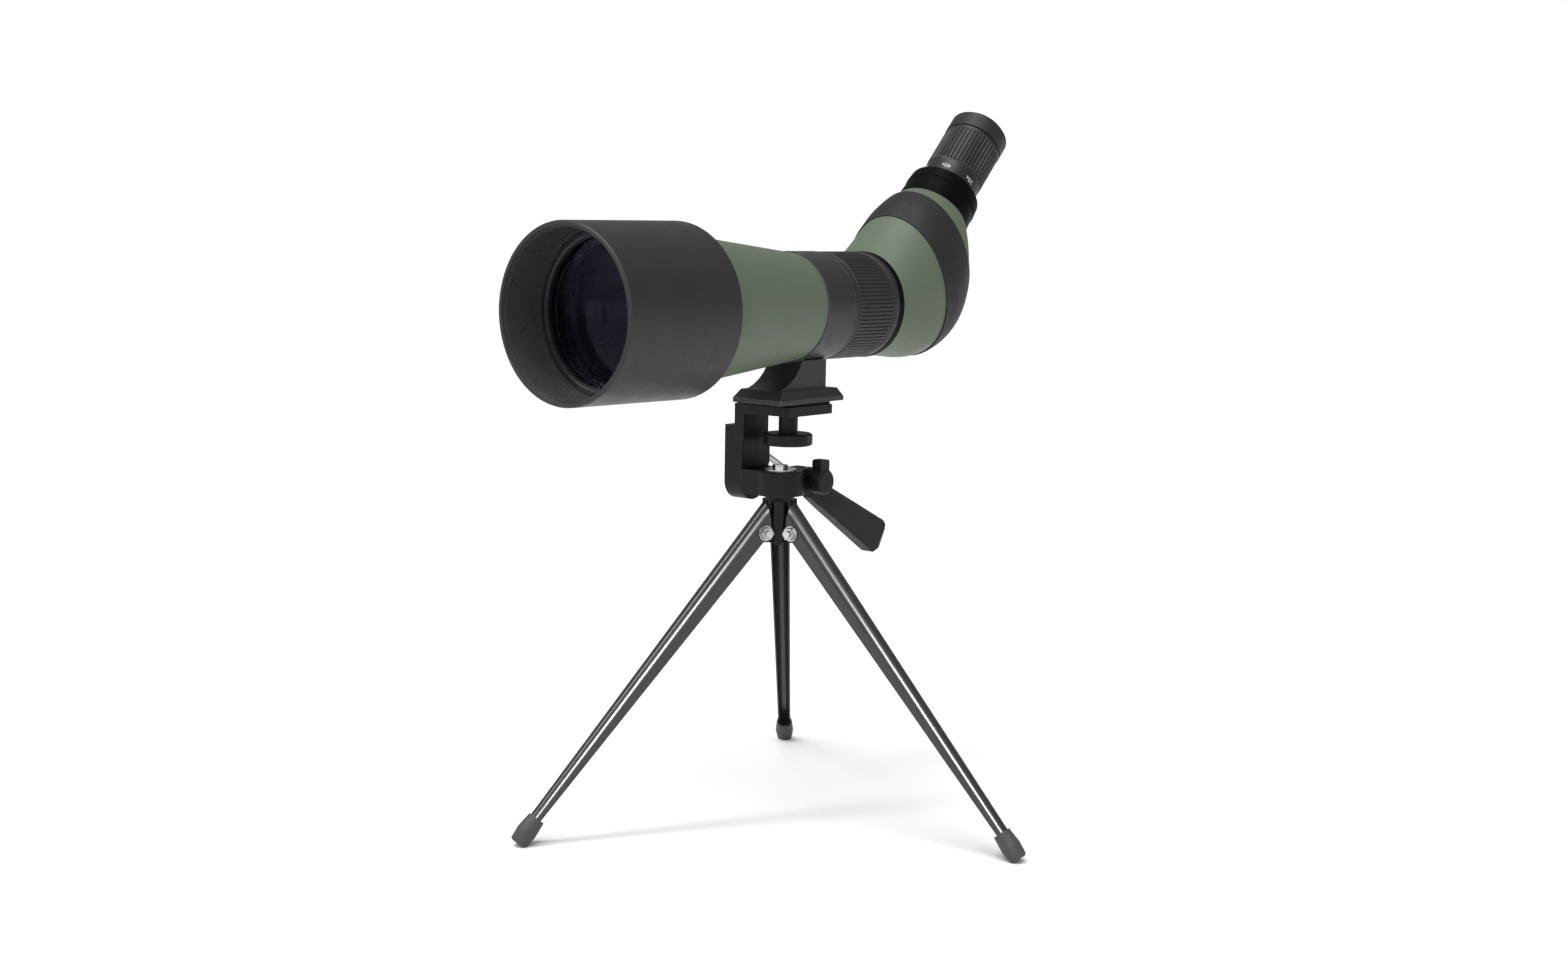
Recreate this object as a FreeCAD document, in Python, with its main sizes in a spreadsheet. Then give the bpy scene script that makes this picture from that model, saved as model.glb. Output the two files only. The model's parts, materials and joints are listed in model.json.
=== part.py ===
import FreeCAD, Part
import math
import os
import re

import Sketcher

# A spotting scope with a 45 degree eyepiece, standing on a small folding tripod.
# Millimetres. The origin is on the floor under the tripod's pan axis, +X points the way
# the scope looks, +Y is the scope's left side and +Z is up.

SIZES = {
    # gaps between fitted parts, and how far a cutting outline runs past the face it cuts
    "press_gap": 0.05,
    "bolt_gap": 0.06,
    "thread_gap": 0.02,
    "close_gap": 0.03,
    "run_gap": 0.1,
    "end_gap": 0.2,
    "overcut": 1.0,
    # optical axis and the tapered main tube
    "axis_height": 304.6,
    "tube_front_x": 95.8,
    "tube_rear_x": -2.0,
    "tube_front_radius": 42.0,
    "tube_rear_radius": 31.9,
    "tube_wall": 2.2,
    "tube_rear_wall": 3.0,
    "sleeve_rear_x": -83.0,
    "sleeve_radius": 28.4,
    "sleeve_bore": 26.2,
    "key_slot_width": 3.4,
    "key_slot_reach": 12.0,
    "baffle_x": 20.0,
    "baffle_length": 10.0,
    "baffle_bore": 24.0,
    "baffle_wall": 1.2,
    "baffle_gap": 0.15,
    # sliding sunshade and the objective cell it runs on
    "shade_front_x": 181.2,
    "shade_front_radius": 48.0,
    "shade_rear_radius": 48.7,
    "shade_bore": 44.5,
    "shade_rim_bore": 45.5,
    "shade_rim_depth": 2.6,
    "shade_lip_bore": 42.7,
    "shade_lip_length": 4.0,
    "shade_edge": 0.8,
    "shade_stop_gap": 0.3,
    "cell_front_x": 152.8,
    "cell_guide_radius": 44.2,
    "cell_barrel_radius": 43.4,
    "cell_guide_length": 7.0,
    "cell_mouth_bore": 42.0,
    "cell_bore": 41.2,
    "cell_spigot_radius": 38.4,
    "cell_spigot_rear_x": 86.0,
    "cell_spigot_gap": 1.0,
    "cell_rear_bore": 36.6,
    "lens_front_x": 149.5,
    "lens_rear_x": 135.5,
    "lens_seat_bore": 39.0,
    "lens_seat_depth": 3.0,
    "lens_seat_slope": 3.0,
    "lens_clear_radius": 40.0,
    "crown_edge": 5.0,
    "spacer_thickness": 1.0,
    "lens_relief": 0.25,
    "crown_front_curve": 260.0,
    "crown_rear_curve": 205.0,
    "flint_rear_curve": 600.0,
    "ring_thickness": 3.0,
    # mount collar, its neck and the foot plate
    "collar_front_x": -2.0,
    "collar_rear_x": -27.7,
    "collar_radius": 32.5,
    "foot_bottom_z": 249.0,
    "foot_flange": 2.6,
    "foot_top_z": 256.7,
    "foot_front_x": 23.2,
    "foot_rear_x": -36.9,
    "foot_half_width": 18.0,
    "foot_top_front_x": 18.4,
    "foot_top_rear_x": -32.9,
    "foot_top_half_width": 15.8,
    "neck_half_width": 12.6,
    "neck_rear_x": -26.2,
    "neck_front_x": -4.0,
    "neck_front_curve": 30.0,
    "neck_top_z": 275.0,
    "neck_sink": 1.0,
    "neck_overlap": 1.5,
    "mount_hole_x": -6.9,
    "mount_hole_radius": 3.2,
    "mount_hole_top_z": 263.0,
    "drill_point": 1.5,
    # focus ring and the focusing lens it drives
    "focus_front_x": -28.0,
    "focus_rear_x": -73.4,
    "focus_radius": 32.3,
    "focus_rib_radius": 31.7,
    "focus_band_width": 5.2,
    "focus_edge": 0.5,
    "focus_rear_land": 1.0,
    "focus_bore": 30.1,
    "retainer_front_x": -73.7,
    "retainer_rear_x": -77.6,
    "cam_radius": 30.0,
    "cam_bore": 28.7,
    "cam_pitch": 14.4,
    "cam_turns": 1.35,
    "cam_slot_width": 3.4,
    "helix_overcut": 0.5,
    "cam_front_x": -36.0,
    "cam_rear_x": -69.5,
    "carriage_centre_x": -52.0,
    "carriage_length": 13.0,
    "carriage_radius": 25.9,
    "carriage_bore": 22.0,
    "carriage_seat_bore": 20.0,
    "carriage_seat": 3.0,
    "key_pin_radius": 1.5,
    "key_pin_root": 1.0,
    "focus_lens_curve": 120.0,
    "focus_lens_edge": 5.0,
    # prism housing: leaning oval sections from the focus ring to the eyepiece collar
    "housing_wall": 2.4,
    "housing_front_wall": 5.4,
    "armour_thickness": 0.9,
    "armour_front_top_x": -103.0,
    "armour_front_bottom_x": -130.0,
    "armour_front_top_z": 52.5,
    "armour_front_bottom_z": -34.5,
    "armour_rear_top_x": -123.5,
    "armour_rear_top_z": 71.5,
    "armour_rear_bottom_x": -162.5,
    "armour_rear_bottom_z": -10.0,
    "band_overrun": 0.3,
    "split_front_x": -60.0,
    "split_top_x": -96.0,
    "split_top_z": 90.0,
    "split_bottom_x": -152.0,
    "split_bottom_z": -70.0,
    "housing_span": 120.0,
    "hollow_rear_x": -200.0,
    "hollow_bottom_z": -60.0,
    "hollow_top_z": 105.0,
    "sleeve_hole_overrun": 5.0,
    "barrel_hole_overrun": 12.0,
    # prisms and the cage that holds them
    "cage_front_x": -83.2,
    "cage_plate": 2.5,
    "cage_disc_radius": 27.0,
    "cage_window": 15.0,
    "prism_gap": 0.3,
    "cage_tie_front_x": -97.0,
    "cage_tie_rear_x": -130.0,
    "cage_tie_top_z": -15.8,
    "cage_tie_bottom_z": -18.5,
    "prism_half_width": 15.0,
    "cage_screw_circle": 22.0,
    "cage_screw_radius": 1.5,
    "cage_screw_head": 1.6,
    # eyepiece, measured along its own axis from where it crosses the optical axis
    "elbow_x": -95.7,
    "eye_angle": 45.1,
    "eye_collar_base": 77.25,
    "eye_collar_top": 100.7,
    "eye_collar_base_radius": 24.8,
    "eye_collar_top_radius": 23.9,
    "eye_collar_bore": 16.9,
    "eye_collar_round_width": 3.0,
    "eye_collar_round_length": 2.6,
    "eye_collar_round": 3.2,
    "eye_collar_step": 13.4,
    "eye_collar_step_slope": 0.6,
    "eye_collar_step_rise": 0.6,
    "eye_collar_step_sink": 0.9,
    "barrel_base": 66.0,
    "barrel_top": 151.0,
    "barrel_radius": 14.5,
    "barrel_bore": 13.2,
    "barrel_flange_radius": 16.8,
    "barrel_flange_gap": 0.5,
    "zoom_base": 101.0,
    "zoom_top": 142.8,
    "zoom_radius": 19.4,
    "zoom_scale_length": 10.5,
    "zoom_scale_sink": 0.3,
    "zoom_edge": 0.5,
    "zoom_bore": 16.3,
    "zoom_cam_radius": 16.2,
    "zoom_cam_bore": 14.8,
    "zoom_cam_base": 102.0,
    "zoom_cam_top": 140.0,
    "zoom_pin_radius": 1.0,
    "zoom_pin_root": 0.4,
    "zoom_slot_width": 2.4,
    "zoom_front_place": 110.0,
    "zoom_rear_place": 129.0,
    "zoom_front_pitch": 26.0,
    "zoom_rear_pitch": 16.0,
    "zoom_turns": 0.45,
    "zoom_slot_reach": 5.2,
    "zoom_lip_bore": 14.9,
    "zoom_carrier_length": 6.0,
    "zoom_carrier_radius": 12.9,
    "zoom_seat_depth": 1.2,
    "zoom_seat_width": 1.4,
    "zoom_lens_radius": 11.0,
    "zoom_lens_curve": 38.0,
    "zoom_lens_edge": 2.6,
    "eye_lens_place": 143.0,
    "eye_lens_edge": 3.0,
    "eye_lens_curve": 40.0,
    "eye_seat_bore": 12.0,
    "eye_seat_depth": 1.5,
    "eye_lens_relief": 0.45,
    "guide_base": 143.1,
    "guide_top": 153.4,
    "guide_radius": 17.4,
    "guide_bore": 14.8,
    "eyecup_base": 143.3,
    "eyecup_top": 156.4,
    "eyecup_radius": 19.7,
    "eyecup_bore": 17.7,
    "eyecup_mouth": 14.6,
    "eyecup_lip": 2.6,
    "eyecup_inner_edge": 0.8,
    "eyecup_round_width": 2.2,
    "eyecup_round": 2.6,
    # tilting head of the tripod
    "platform_rear_x": -26.8,
    "platform_front_x": 13.0,
    "platform_right_y": -24.9,
    "platform_left_y": 17.3,
    "platform_bottom_z": 241.6,
    "platform_top_z": 247.2,
    "pad_inset": 1.0,
    "pad_hole": 4.4,
    "platform_hole": 3.4,
    "arm_rear_x": -10.6,
    "arm_left_y": -18.1,
    "arm_drop": 8.0,
    "upright_right_y": -32.4,
    "upright_left_y": -19.4,
    "upright_top_z": 234.0,
    "upright_front_x": 12.7,
    "upright_rear_x": -10.3,
    "upright_boss_x": -14.0,
    "handle_boss_half": 6.0,
    "upright_shoulder": 6.0,
    "tilt_x": 1.2,
    "tilt_z": 200.5,
    "tilt_round": 11.5,
    "tilt_bolt_radius": 3.0,
    "tilt_bolt_tip_y": -9.6,
    "tilt_washer_radius": 6.4,
    "tilt_head_radius": 5.5,
    "tilt_head_depth": 3.0,
    # camera screw and its thumb wheel
    "screw_radius": 3.1,
    "screw_top_z": 256.0,
    "screw_point_length": 1.0,
    "screw_point_trim": 0.8,
    "wheel_bottom_z": 222.8,
    "wheel_top_z": 230.0,
    "wheel_radius": 14.7,
    "wheel_hub_radius": 5.7,
    "wheel_hub_top_z": 241.2,
    "wheel_edge": 0.8,
    "wheel_floor": 2.0,
    # pan base, its post, washer and screw
    "base_bottom_z": 193.8,
    "base_top_z": 208.2,
    "base_radius": 14.2,
    "base_edge": 1.0,
    "base_arm_right_y": -19.1,
    "base_arm_half_width": 13.0,
    "post_radius": 7.9,
    "base_bore": 7.98,
    "ear_rear_x": -26.0,
    "ear_half_width": 7.6,
    "ear_slit": 1.6,
    "lock_x": -20.6,
    "lock_z": 201.0,
    "lock_screw_radius": 2.0,
    "lock_screw_left_y": 16.4,
    "lock_screw_stub": 1.0,
    "lock_nut_radius": 4.0,
    "lock_nut_depth": 3.0,
    "lever_right_y": 9.4,
    "lever_left_y": 19.6,
    "lever_hub_radius": 7.4,
    "lever_top_z": 214.4,
    "lever_fin_front": 5.2,
    "lever_fin_rear": 3.2,
    "lever_flare_height": 9.5,
    "lever_flare_round": 12.0,
    "lever_edge": 1.0,
    "lever_hub_slope": 2.0,
    "lever_hub_taper": 1.5,
    "lever_arm_inset": 2.6,
    "lever_corner": 1.5,
    "lever_corner_round": 2.0,
    "pan_washer_radius": 9.6,
    "pan_washer_thickness": 0.9,
    "pan_screw_radius": 2.5,
    "pan_screw_head_radius": 4.6,
    "pan_screw_head": 2.4,
    "pan_screw_tip_z": 186.0,
    "thread_end_gap": 0.5,
    # handle, measured along its rod from where the rod leaves the upright
    "handle_y": -25.9,
    "handle_start_x": -13.0,
    "handle_start_z": 216.6,
    "handle_drop": 29.0,
    "rod_radius": 2.0,
    "rod_socket_depth": 12.0,
    "rod_end_gap": 0.5,
    "rod_socket_overcut": 6.0,
    "grip_start": 57.0,
    "grip_length": 83.0,
    "grip_small_radius": 6.6,
    "grip_large_radius": 11.4,
    "grip_small_depth": 5.2,
    "grip_large_depth": 7.2,
    "grip_wall": 1.8,
    "grip_head_length": 16.0,
    "grip_swell": 1.0,
    "grip_end_length": 4.0,
    "grip_end_depth_drop": 2.0,
    "grip_end_height_drop": 2.5,
    "grip_end_wall": 5.0,
    "grip_trough_gap": 2.0,
    "grip_slot_gap": 5.0,
    "grip_slot_half": 1.6,
    "grip_corner": 2.6,
    "grip_slot_length": 48.0,
    "rod_in_grip": 14.0,
    # leg hub
    "hub_bottom_z": 165.3,
    "hub_top_z": 193.5,
    "hub_disc_bottom_z": 191.0,
    "hub_disc_radius": 8.6,
    "hub_core_radius": 6.4,
    "hub_rib_half_width": 2.7,
    "hub_rib_reach": 10.4,
    "lug_half_width": 4.7,
    "lug_round": 5.7,
    "lug_root_rise": 0.6,
    "lug_root_height": 10.0,
    "fold_radius": 12.0,
    "fold_height": 172.0,
    "leg_bolt_radius": 2.0,
    "leg_hole_radius": 2.08,
    # legs, measured along each leg's own axis down from the point where the three meet
    "apex_height": 192.6,
    "splay": 40.6,
    "leg_turn": 96.1,
    "leg_start": 8.5,
    "leg_end": 243.0,
    "leg_top_radius": 6.1,
    "leg_bottom_radius": 4.0,
    "leg_top_flange": 7.5,
    "leg_bottom_flange": 1.0,
    "leg_wall": 0.9,
    "leg_trim": 12.0,
    "cap_start": 234.0,
    "cap_middle": 243.5,
    "cap_end": 251.5,
    "cap_socket_end": 243.2,
    "cap_socket_radius": 4.4,
    "cap_top_radius": 5.1,
    "cap_middle_radius": 6.0,
    "cap_end_radius": 5.2,
    "cap_edge": 1.0,
    "cap_cut_depth": 20.0,
    "washer_radius": 4.6,
    "washer_thickness": 0.6,
    "nut_radius": 3.9,
    "nut_depth": 2.7,
    "bolt_end": 1.6,
}

# oval sections of the prism housing: where the middle of each lies beside the optical
# axis, how far it leans towards the eyepiece, half its height and half its width
HOUSING_SECTIONS = [
    ("root", -77.6, 0.0, 0.0, 32.6, 32.6),
    ("flare", -93.5, 4.4, 7.0, 37.6, 34.2),
    ("waist", -117.0, 11.5, 15.5, 46.2, 36.2),
    ("knee", -131.0, 19.5, 25.5, 46.6, 36.8),
    ("crown", -139.4, 31.0, 35.5, 41.2, 34.3),
    ("throat", -145.0, 42.9, 42.0, 34.1, 30.4),
    ("mouth", -150.2, 54.7, 45.1, 24.9, 24.9),
]
# corners of the prisms and of the cage's side plates: along the optical axis, and beside it
PRISM_OUTLINES = {
    "cheek": [(-83.2, -15.0), (-83.2, 15.0), (-112.0, 30.0), (-128.0, 38.0), (-149.0, 18.0),
              (-138.0, -12.0), (-120.0, -17.0)],
    "wedge": [(-96.0, -15.0), (-96.0, 15.0), (-111.0, 21.5), (-131.5, -15.0)],
    "roof": [(-112.0, 22.5), (-131.9, -13.0), (-150.0, 11.5), (-124.6, 37.0)],
}
SECTION_FIELDS = ("x", "z", "lean", "half_height", "half_width")
for section_name, *section_values in HOUSING_SECTIONS:
    for field, number in zip(SECTION_FIELDS, section_values):
        SIZES[f"{section_name}_{field}"] = number

for outline_name, places in PRISM_OUTLINES.items():
    for letter, place in zip("abcdefg", places):
        SIZES[f"{outline_name}_corner_{letter}_x"] = place[0]
        SIZES[f"{outline_name}_corner_{letter}_z"] = place[1]

document = FreeCAD.newDocument("spotting_scope")
sheet = document.addObject("Spreadsheet::Sheet", "sizes")
for row, (alias, number) in enumerate(SIZES.items(), start=1):
    sheet.set(f"A{row}", alias)
    sheet.set(f"B{row}", str(number))
    sheet.setAlias(f"B{row}", alias)
document.recompute()

parts = []
LEG_COUNT = 3
CAGE_SCREWS = 4


# ---------------------------------------------------------------- helpers

def bound(text):
    """An expression of sheet aliases, with each alias pointed at the sheet."""
    return re.sub(r"[a-z_]+", lambda word: word[0] if word[0] not in SIZES else "sizes." + word[0], text)


def amount(text):
    """The present value of an expression of sheet aliases."""
    return float(sheet.evalExpression(bound(text)))


def new_body(name, x="0", y="0", z="0", turn="0", turn_axis=(0, 1, 0)):
    """A named body whose place is bound to the sheet."""
    body = document.addObject("PartDesign::Body", name)
    body.Label = name
    place = FreeCAD.Vector(amount(x), amount(y), amount(z))
    body.Placement = FreeCAD.Placement(place, FreeCAD.Rotation(FreeCAD.Vector(*turn_axis), amount(turn)))
    for letter, text in (("x", x), ("y", y), ("z", z)):
        if text != "0":
            body.setExpression(f"Placement.Base.{letter}", bound(text))
    if turn != "0":
        body.setExpression("Placement.Rotation.Angle", bound(turn))
    parts.append(body)
    return body


def scope_body(name):
    """A body whose X axis is the optical axis."""
    return new_body(name, z="axis_height")


def eyepiece_body(name):
    """A body whose X axis runs up the eyepiece from the elbow."""
    return new_body(name, x="elbow_x", z="axis_height", turn="180 + eye_angle")


def origin_item(body, role):
    return next(item for item in body.Origin.OriginFeatures if item.Role == role)


def new_sketch(body, role, shift=("0", "0", "0"), tip="0", tip_axis=(1, 0, 0)):
    """A sketch on one of the body's own planes, moved by shift and tipped about tip_axis."""
    sketch = body.newObject("Sketcher::SketchObject", "sketch")
    sketch.AttachmentSupport = [(origin_item(body, role), "")]
    sketch.MapMode = "FlatFace"
    move = FreeCAD.Vector(*[amount(text) for text in shift])
    sketch.AttachmentOffset = FreeCAD.Placement(
        move, FreeCAD.Rotation(FreeCAD.Vector(*tip_axis), amount(tip)))
    for letter, text in zip("xyz", shift):
        if text != "0":
            sketch.setExpression(f"AttachmentOffset.Base.{letter}", bound(text))
    if tip != "0":
        sketch.setExpression("AttachmentOffset.Rotation.Angle", bound(tip))
    return sketch


def pin_point(sketch, geometry, end, x, y):
    """Fix one point of a sketch at a place given by two expressions."""
    for kind, text in (("DistanceX", x), ("DistanceY", y)):
        index = sketch.addConstraint(Sketcher.Constraint(kind, -1, 1, geometry, end, amount(text)))
        sketch.setExpression(f"Constraints[{index}]", bound(text))


def arc_between(first, last, radius):
    """The short arc from first to last; a positive radius bulges to the left of the way."""
    chord = last - first
    reach = abs(radius)
    sagitta = reach - math.sqrt(max(reach ** 2 - (chord.Length / 2) ** 2, 0.0))
    left = FreeCAD.Vector(-chord.y, chord.x, 0).normalize()
    middle = (first + last) / 2 + left * math.copysign(sagitta, radius)
    return Part.ArcOfCircle(first, middle, last)


def draw_outline(sketch, corners):
    """A closed outline. A corner with a third entry starts an arc of that radius."""
    start = sketch.GeometryCount
    places = [FreeCAD.Vector(amount(corner[0]), amount(corner[1]), 0) for corner in corners]
    ends = []
    for index, corner in enumerate(corners):
        first = places[index]
        last = places[(index + 1) % len(corners)]
        if len(corner) == 2:
            sketch.addGeometry(Part.LineSegment(first, last))
            ends.append((1, 2))
        else:
            radius = amount(corner[2])
            number = sketch.addGeometry(arc_between(first, last, radius))
            ends.append((2, 1) if radius > 0 else (1, 2))
            rule = sketch.addConstraint(Sketcher.Constraint("Radius", number, abs(radius)))
            sketch.setExpression(f"Constraints[{rule}]", bound(f"abs({corner[2]})"))
    for index, corner in enumerate(corners):
        following = (index + 1) % len(corners)
        sketch.addConstraint(Sketcher.Constraint(
            "Coincident", start + index, ends[index][1], start + following, ends[following][0]))
        pin_point(sketch, start + index, ends[index][0], corner[0], corner[1])


def draw_circle(sketch, x, y, radius):
    centre = FreeCAD.Vector(amount(x), amount(y), 0)
    number = sketch.addGeometry(Part.Circle(centre, FreeCAD.Vector(0, 0, 1), amount(radius)))
    rule = sketch.addConstraint(Sketcher.Constraint("Radius", number, amount(radius)))
    sketch.setExpression(f"Constraints[{rule}]", bound(radius))
    pin_point(sketch, number, 3, x, y)


def draw_hexagon(sketch, x, y, radius):
    """A hexagon whose corners lie on a circle of the given radius."""
    draw_outline(sketch, [
        (f"{x} + ({radius}) * cos({angle} deg)", f"{y} + ({radius}) * sin({angle} deg)")
        for angle in range(0, 360, 60)])


def box_corners(x_low, x_high, y_low, y_high):
    return [(x_low, y_low), (x_high, y_low), (x_high, y_high), (x_low, y_high)]


def turned(body, corners, axis="H_Axis", role="XZ_Plane", **place):
    """Material turned about a sketch axis: the body's X axis for H_Axis on the XZ plane."""
    sketch = new_sketch(body, role, **place)
    draw_outline(sketch, corners)
    feature = body.newObject("PartDesign::Revolution", "revolution")
    feature.Profile = sketch
    feature.ReferenceAxis = (sketch, [axis])
    return feature


def turned_cut(body, corners, axis="H_Axis", role="XZ_Plane", **place):
    """Material removed by turning an outline about a sketch axis."""
    sketch = new_sketch(body, role, **place)
    draw_outline(sketch, corners)
    feature = body.newObject("PartDesign::Groove", "groove")
    feature.Profile = sketch
    feature.ReferenceAxis = (sketch, [axis])
    return feature


def padded(body, role, draw, low, high, **place):
    """Material between two heights along the sketch's own normal."""
    sketch = layer_sketch(body, role, low, place)
    draw(sketch)
    feature = body.newObject("PartDesign::Pad", "pad")
    feature.Profile = sketch
    feature.setExpression("Length", bound(f"({high}) - ({low})"))
    feature.Length = amount(f"({high}) - ({low})")
    return feature


def layer_sketch(body, role, low, place):
    shift = list(place.pop("shift", ("0", "0", "0")))
    shift[2] = low
    return new_sketch(body, role, shift=tuple(shift), **place)


def pocketed(body, role, draw, low, high, **place):
    """Material removed between two heights along the sketch's own normal."""
    sketch = layer_sketch(body, role, low, place)
    draw(sketch)
    feature = body.newObject("PartDesign::Pocket", "pocket")
    feature.Profile = sketch
    feature.Reversed = True
    feature.setExpression("Length", bound(f"({high}) - ({low})"))
    feature.Length = amount(f"({high}) - ({low})")
    return feature


def spread_round(body, features, axis, count):
    """Repeat features evenly round an axis of the body."""
    document.recompute()
    pattern = body.newObject("PartDesign::PolarPattern", "pattern")
    pattern.Originals = features
    pattern.Axis = (origin_item(body, axis), [""])
    pattern.Angle = 360
    pattern.Occurrences = count
    body.Tip = pattern
    return pattern


def ring_corners(x_low, x_high, bore, radius):
    return [(x_low, bore), (x_high, bore), (x_high, radius), (x_low, radius)]


def helical_slot(body, start_x, width, bore, radius, pitch, turns, left_handed=False):
    """A helical slot through a sleeve's wall, centred on start_x at the sleeve's top."""
    way = "180" if left_handed else "-180"
    sketch = new_sketch(body, "XZ_Plane", tip=f"{way} * ({turns})")
    half = f"({width}) / 2"
    low_x = f"({start_x}) - ({pitch}) * ({turns}) / 2"
    draw_outline(sketch, box_corners(
        f"{low_x} - {half}", f"{low_x} + {half}", f"({bore}) - helix_overcut", f"({radius}) + helix_overcut"))
    feature = body.newObject("PartDesign::SubtractiveHelix", "helix")
    feature.Profile = sketch
    feature.ReferenceAxis = (sketch, ["H_Axis"])
    feature.Mode = 1
    feature.LeftHanded = left_handed
    feature.setExpression("Pitch", bound(pitch))
    feature.setExpression("Turns", bound(turns))
    feature.Pitch = amount(pitch)
    feature.Turns = amount(turns)
    return feature


# ---------------------------------------------------------------- objective end

def build_sunshade():
    body = scope_body("sunshade")
    rear = "tube_front_x"
    lip_end = "tube_front_x + shade_lip_length"
    rim = "shade_front_x - shade_rim_depth"
    turned(body, [
        (rear, "shade_lip_bore"), (lip_end, "shade_lip_bore"), (lip_end, "shade_bore"),
        (rim, "shade_bore"), (rim, "shade_rim_bore"), ("shade_front_x", "shade_rim_bore"),
        ("shade_front_x", "shade_front_radius - shade_edge"),
        ("shade_front_x - shade_edge", "shade_front_radius"), (rear, "shade_rear_radius")])


def build_objective_cell():
    body = scope_body("objective_cell")
    stop = "tube_front_x + shade_lip_length + shade_stop_gap"
    rear_guide = f"{stop} + cell_guide_length"
    front_guide = "cell_front_x - cell_guide_length"
    turned(body, [
        ("cell_spigot_rear_x", "cell_rear_bore"),
        ("lens_rear_x - lens_seat_depth - lens_seat_slope", "cell_rear_bore"),
        ("lens_rear_x - lens_seat_depth", "lens_seat_bore"), ("lens_rear_x", "lens_seat_bore"),
        ("lens_rear_x", "cell_bore"), ("lens_front_x + ring_thickness", "cell_bore"),
        ("cell_front_x", "cell_mouth_bore"), ("cell_front_x", "cell_guide_radius"),
        (front_guide, "cell_guide_radius"), (front_guide, "cell_barrel_radius"),
        (rear_guide, "cell_barrel_radius"), (rear_guide, "cell_guide_radius"),
        (stop, "cell_guide_radius"), (stop, "tube_front_radius"),
        ("tube_front_x", "tube_front_radius"), ("tube_front_x", "cell_spigot_radius"),
        ("cell_spigot_rear_x", "cell_spigot_radius")])


def build_objective_lenses():
    edge = "cell_bore - press_gap"
    rear_edge = "lens_front_x - crown_edge"
    crown = scope_body("crown_lens")
    front_bulge = f"crown_front_curve - sqrt(crown_front_curve ^ 2 - ({edge}) ^ 2)"
    rear_bulge = f"crown_rear_curve - sqrt(crown_rear_curve ^ 2 - ({edge}) ^ 2)"
    turned(crown, [
        (f"{rear_edge} - ({rear_bulge})", "0"),
        (f"lens_front_x + {front_bulge}", "0", "-crown_front_curve"),
        ("lens_front_x", edge), (rear_edge, edge, "-crown_rear_curve")])

    spacer = scope_body("lens_spacer")
    turned(spacer, ring_corners(
        f"{rear_edge} - spacer_thickness", f"{rear_edge} - lens_relief", "lens_clear_radius", edge))

    flint = scope_body("flint_lens")
    flint_front = f"{rear_edge} - spacer_thickness"
    flint_bulge = f"flint_rear_curve - sqrt(flint_rear_curve ^ 2 - ({edge}) ^ 2)"
    turned(flint, [
        (f"lens_rear_x + {flint_bulge}", "0"),
        (f"{flint_front} - ({rear_bulge})", "0", "crown_rear_curve"),
        (flint_front, edge), ("lens_rear_x", edge, "flint_rear_curve")])

    ring = scope_body("objective_retaining_ring")
    turned(ring, ring_corners(
        "lens_front_x + lens_relief", "lens_front_x + ring_thickness", "lens_clear_radius", edge))


def build_main_tube():
    body = scope_body("main_tube")
    socket = "cell_spigot_radius + press_gap"
    turned(body, [
        ("sleeve_rear_x", "sleeve_bore"), ("tube_rear_x + tube_rear_wall", "sleeve_bore"),
        ("tube_rear_x + tube_rear_wall", "tube_rear_radius - tube_wall"),
        ("cell_spigot_rear_x - cell_spigot_gap", socket),
        ("tube_front_x", socket), ("tube_front_x", "tube_front_radius"),
        ("tube_rear_x", "tube_rear_radius"), ("tube_rear_x", "sleeve_radius"),
        ("sleeve_rear_x", "sleeve_radius")])
    # straight slot in the sleeve's top that keeps the focusing carriage from turning
    pocketed(body, "XY_Plane", lambda sketch: draw_outline(sketch, box_corners(
        "carriage_centre_x - key_slot_reach", "carriage_centre_x + key_slot_reach",
        "-key_slot_width / 2", "key_slot_width / 2")), "sleeve_bore - overcut", "sleeve_radius + overcut")


def build_tube_baffle():
    body = scope_body("tube_baffle")
    front = "baffle_x + baffle_length"
    rise = "(cell_spigot_radius - tube_rear_radius + tube_wall)"
    run = "(cell_spigot_rear_x - cell_spigot_gap - tube_rear_x - tube_rear_wall)"
    widening = f"{rise} / {run}"
    inside = "tube_rear_radius - tube_wall - baffle_gap"
    skirt = f"{inside} + ({widening}) * (baffle_x - tube_rear_x - tube_rear_wall)"
    mouth = f"{skirt} + ({widening}) * baffle_length"
    turned(body, [
        ("baffle_x", "baffle_bore"), ("baffle_x + baffle_wall", "baffle_bore"),
        ("baffle_x + baffle_wall", f"{skirt} - baffle_wall"), (front, f"{mouth} - baffle_wall"),
        (front, mouth),
        ("baffle_x", skirt)])


# ---------------------------------------------------------------- collar and foot

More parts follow.
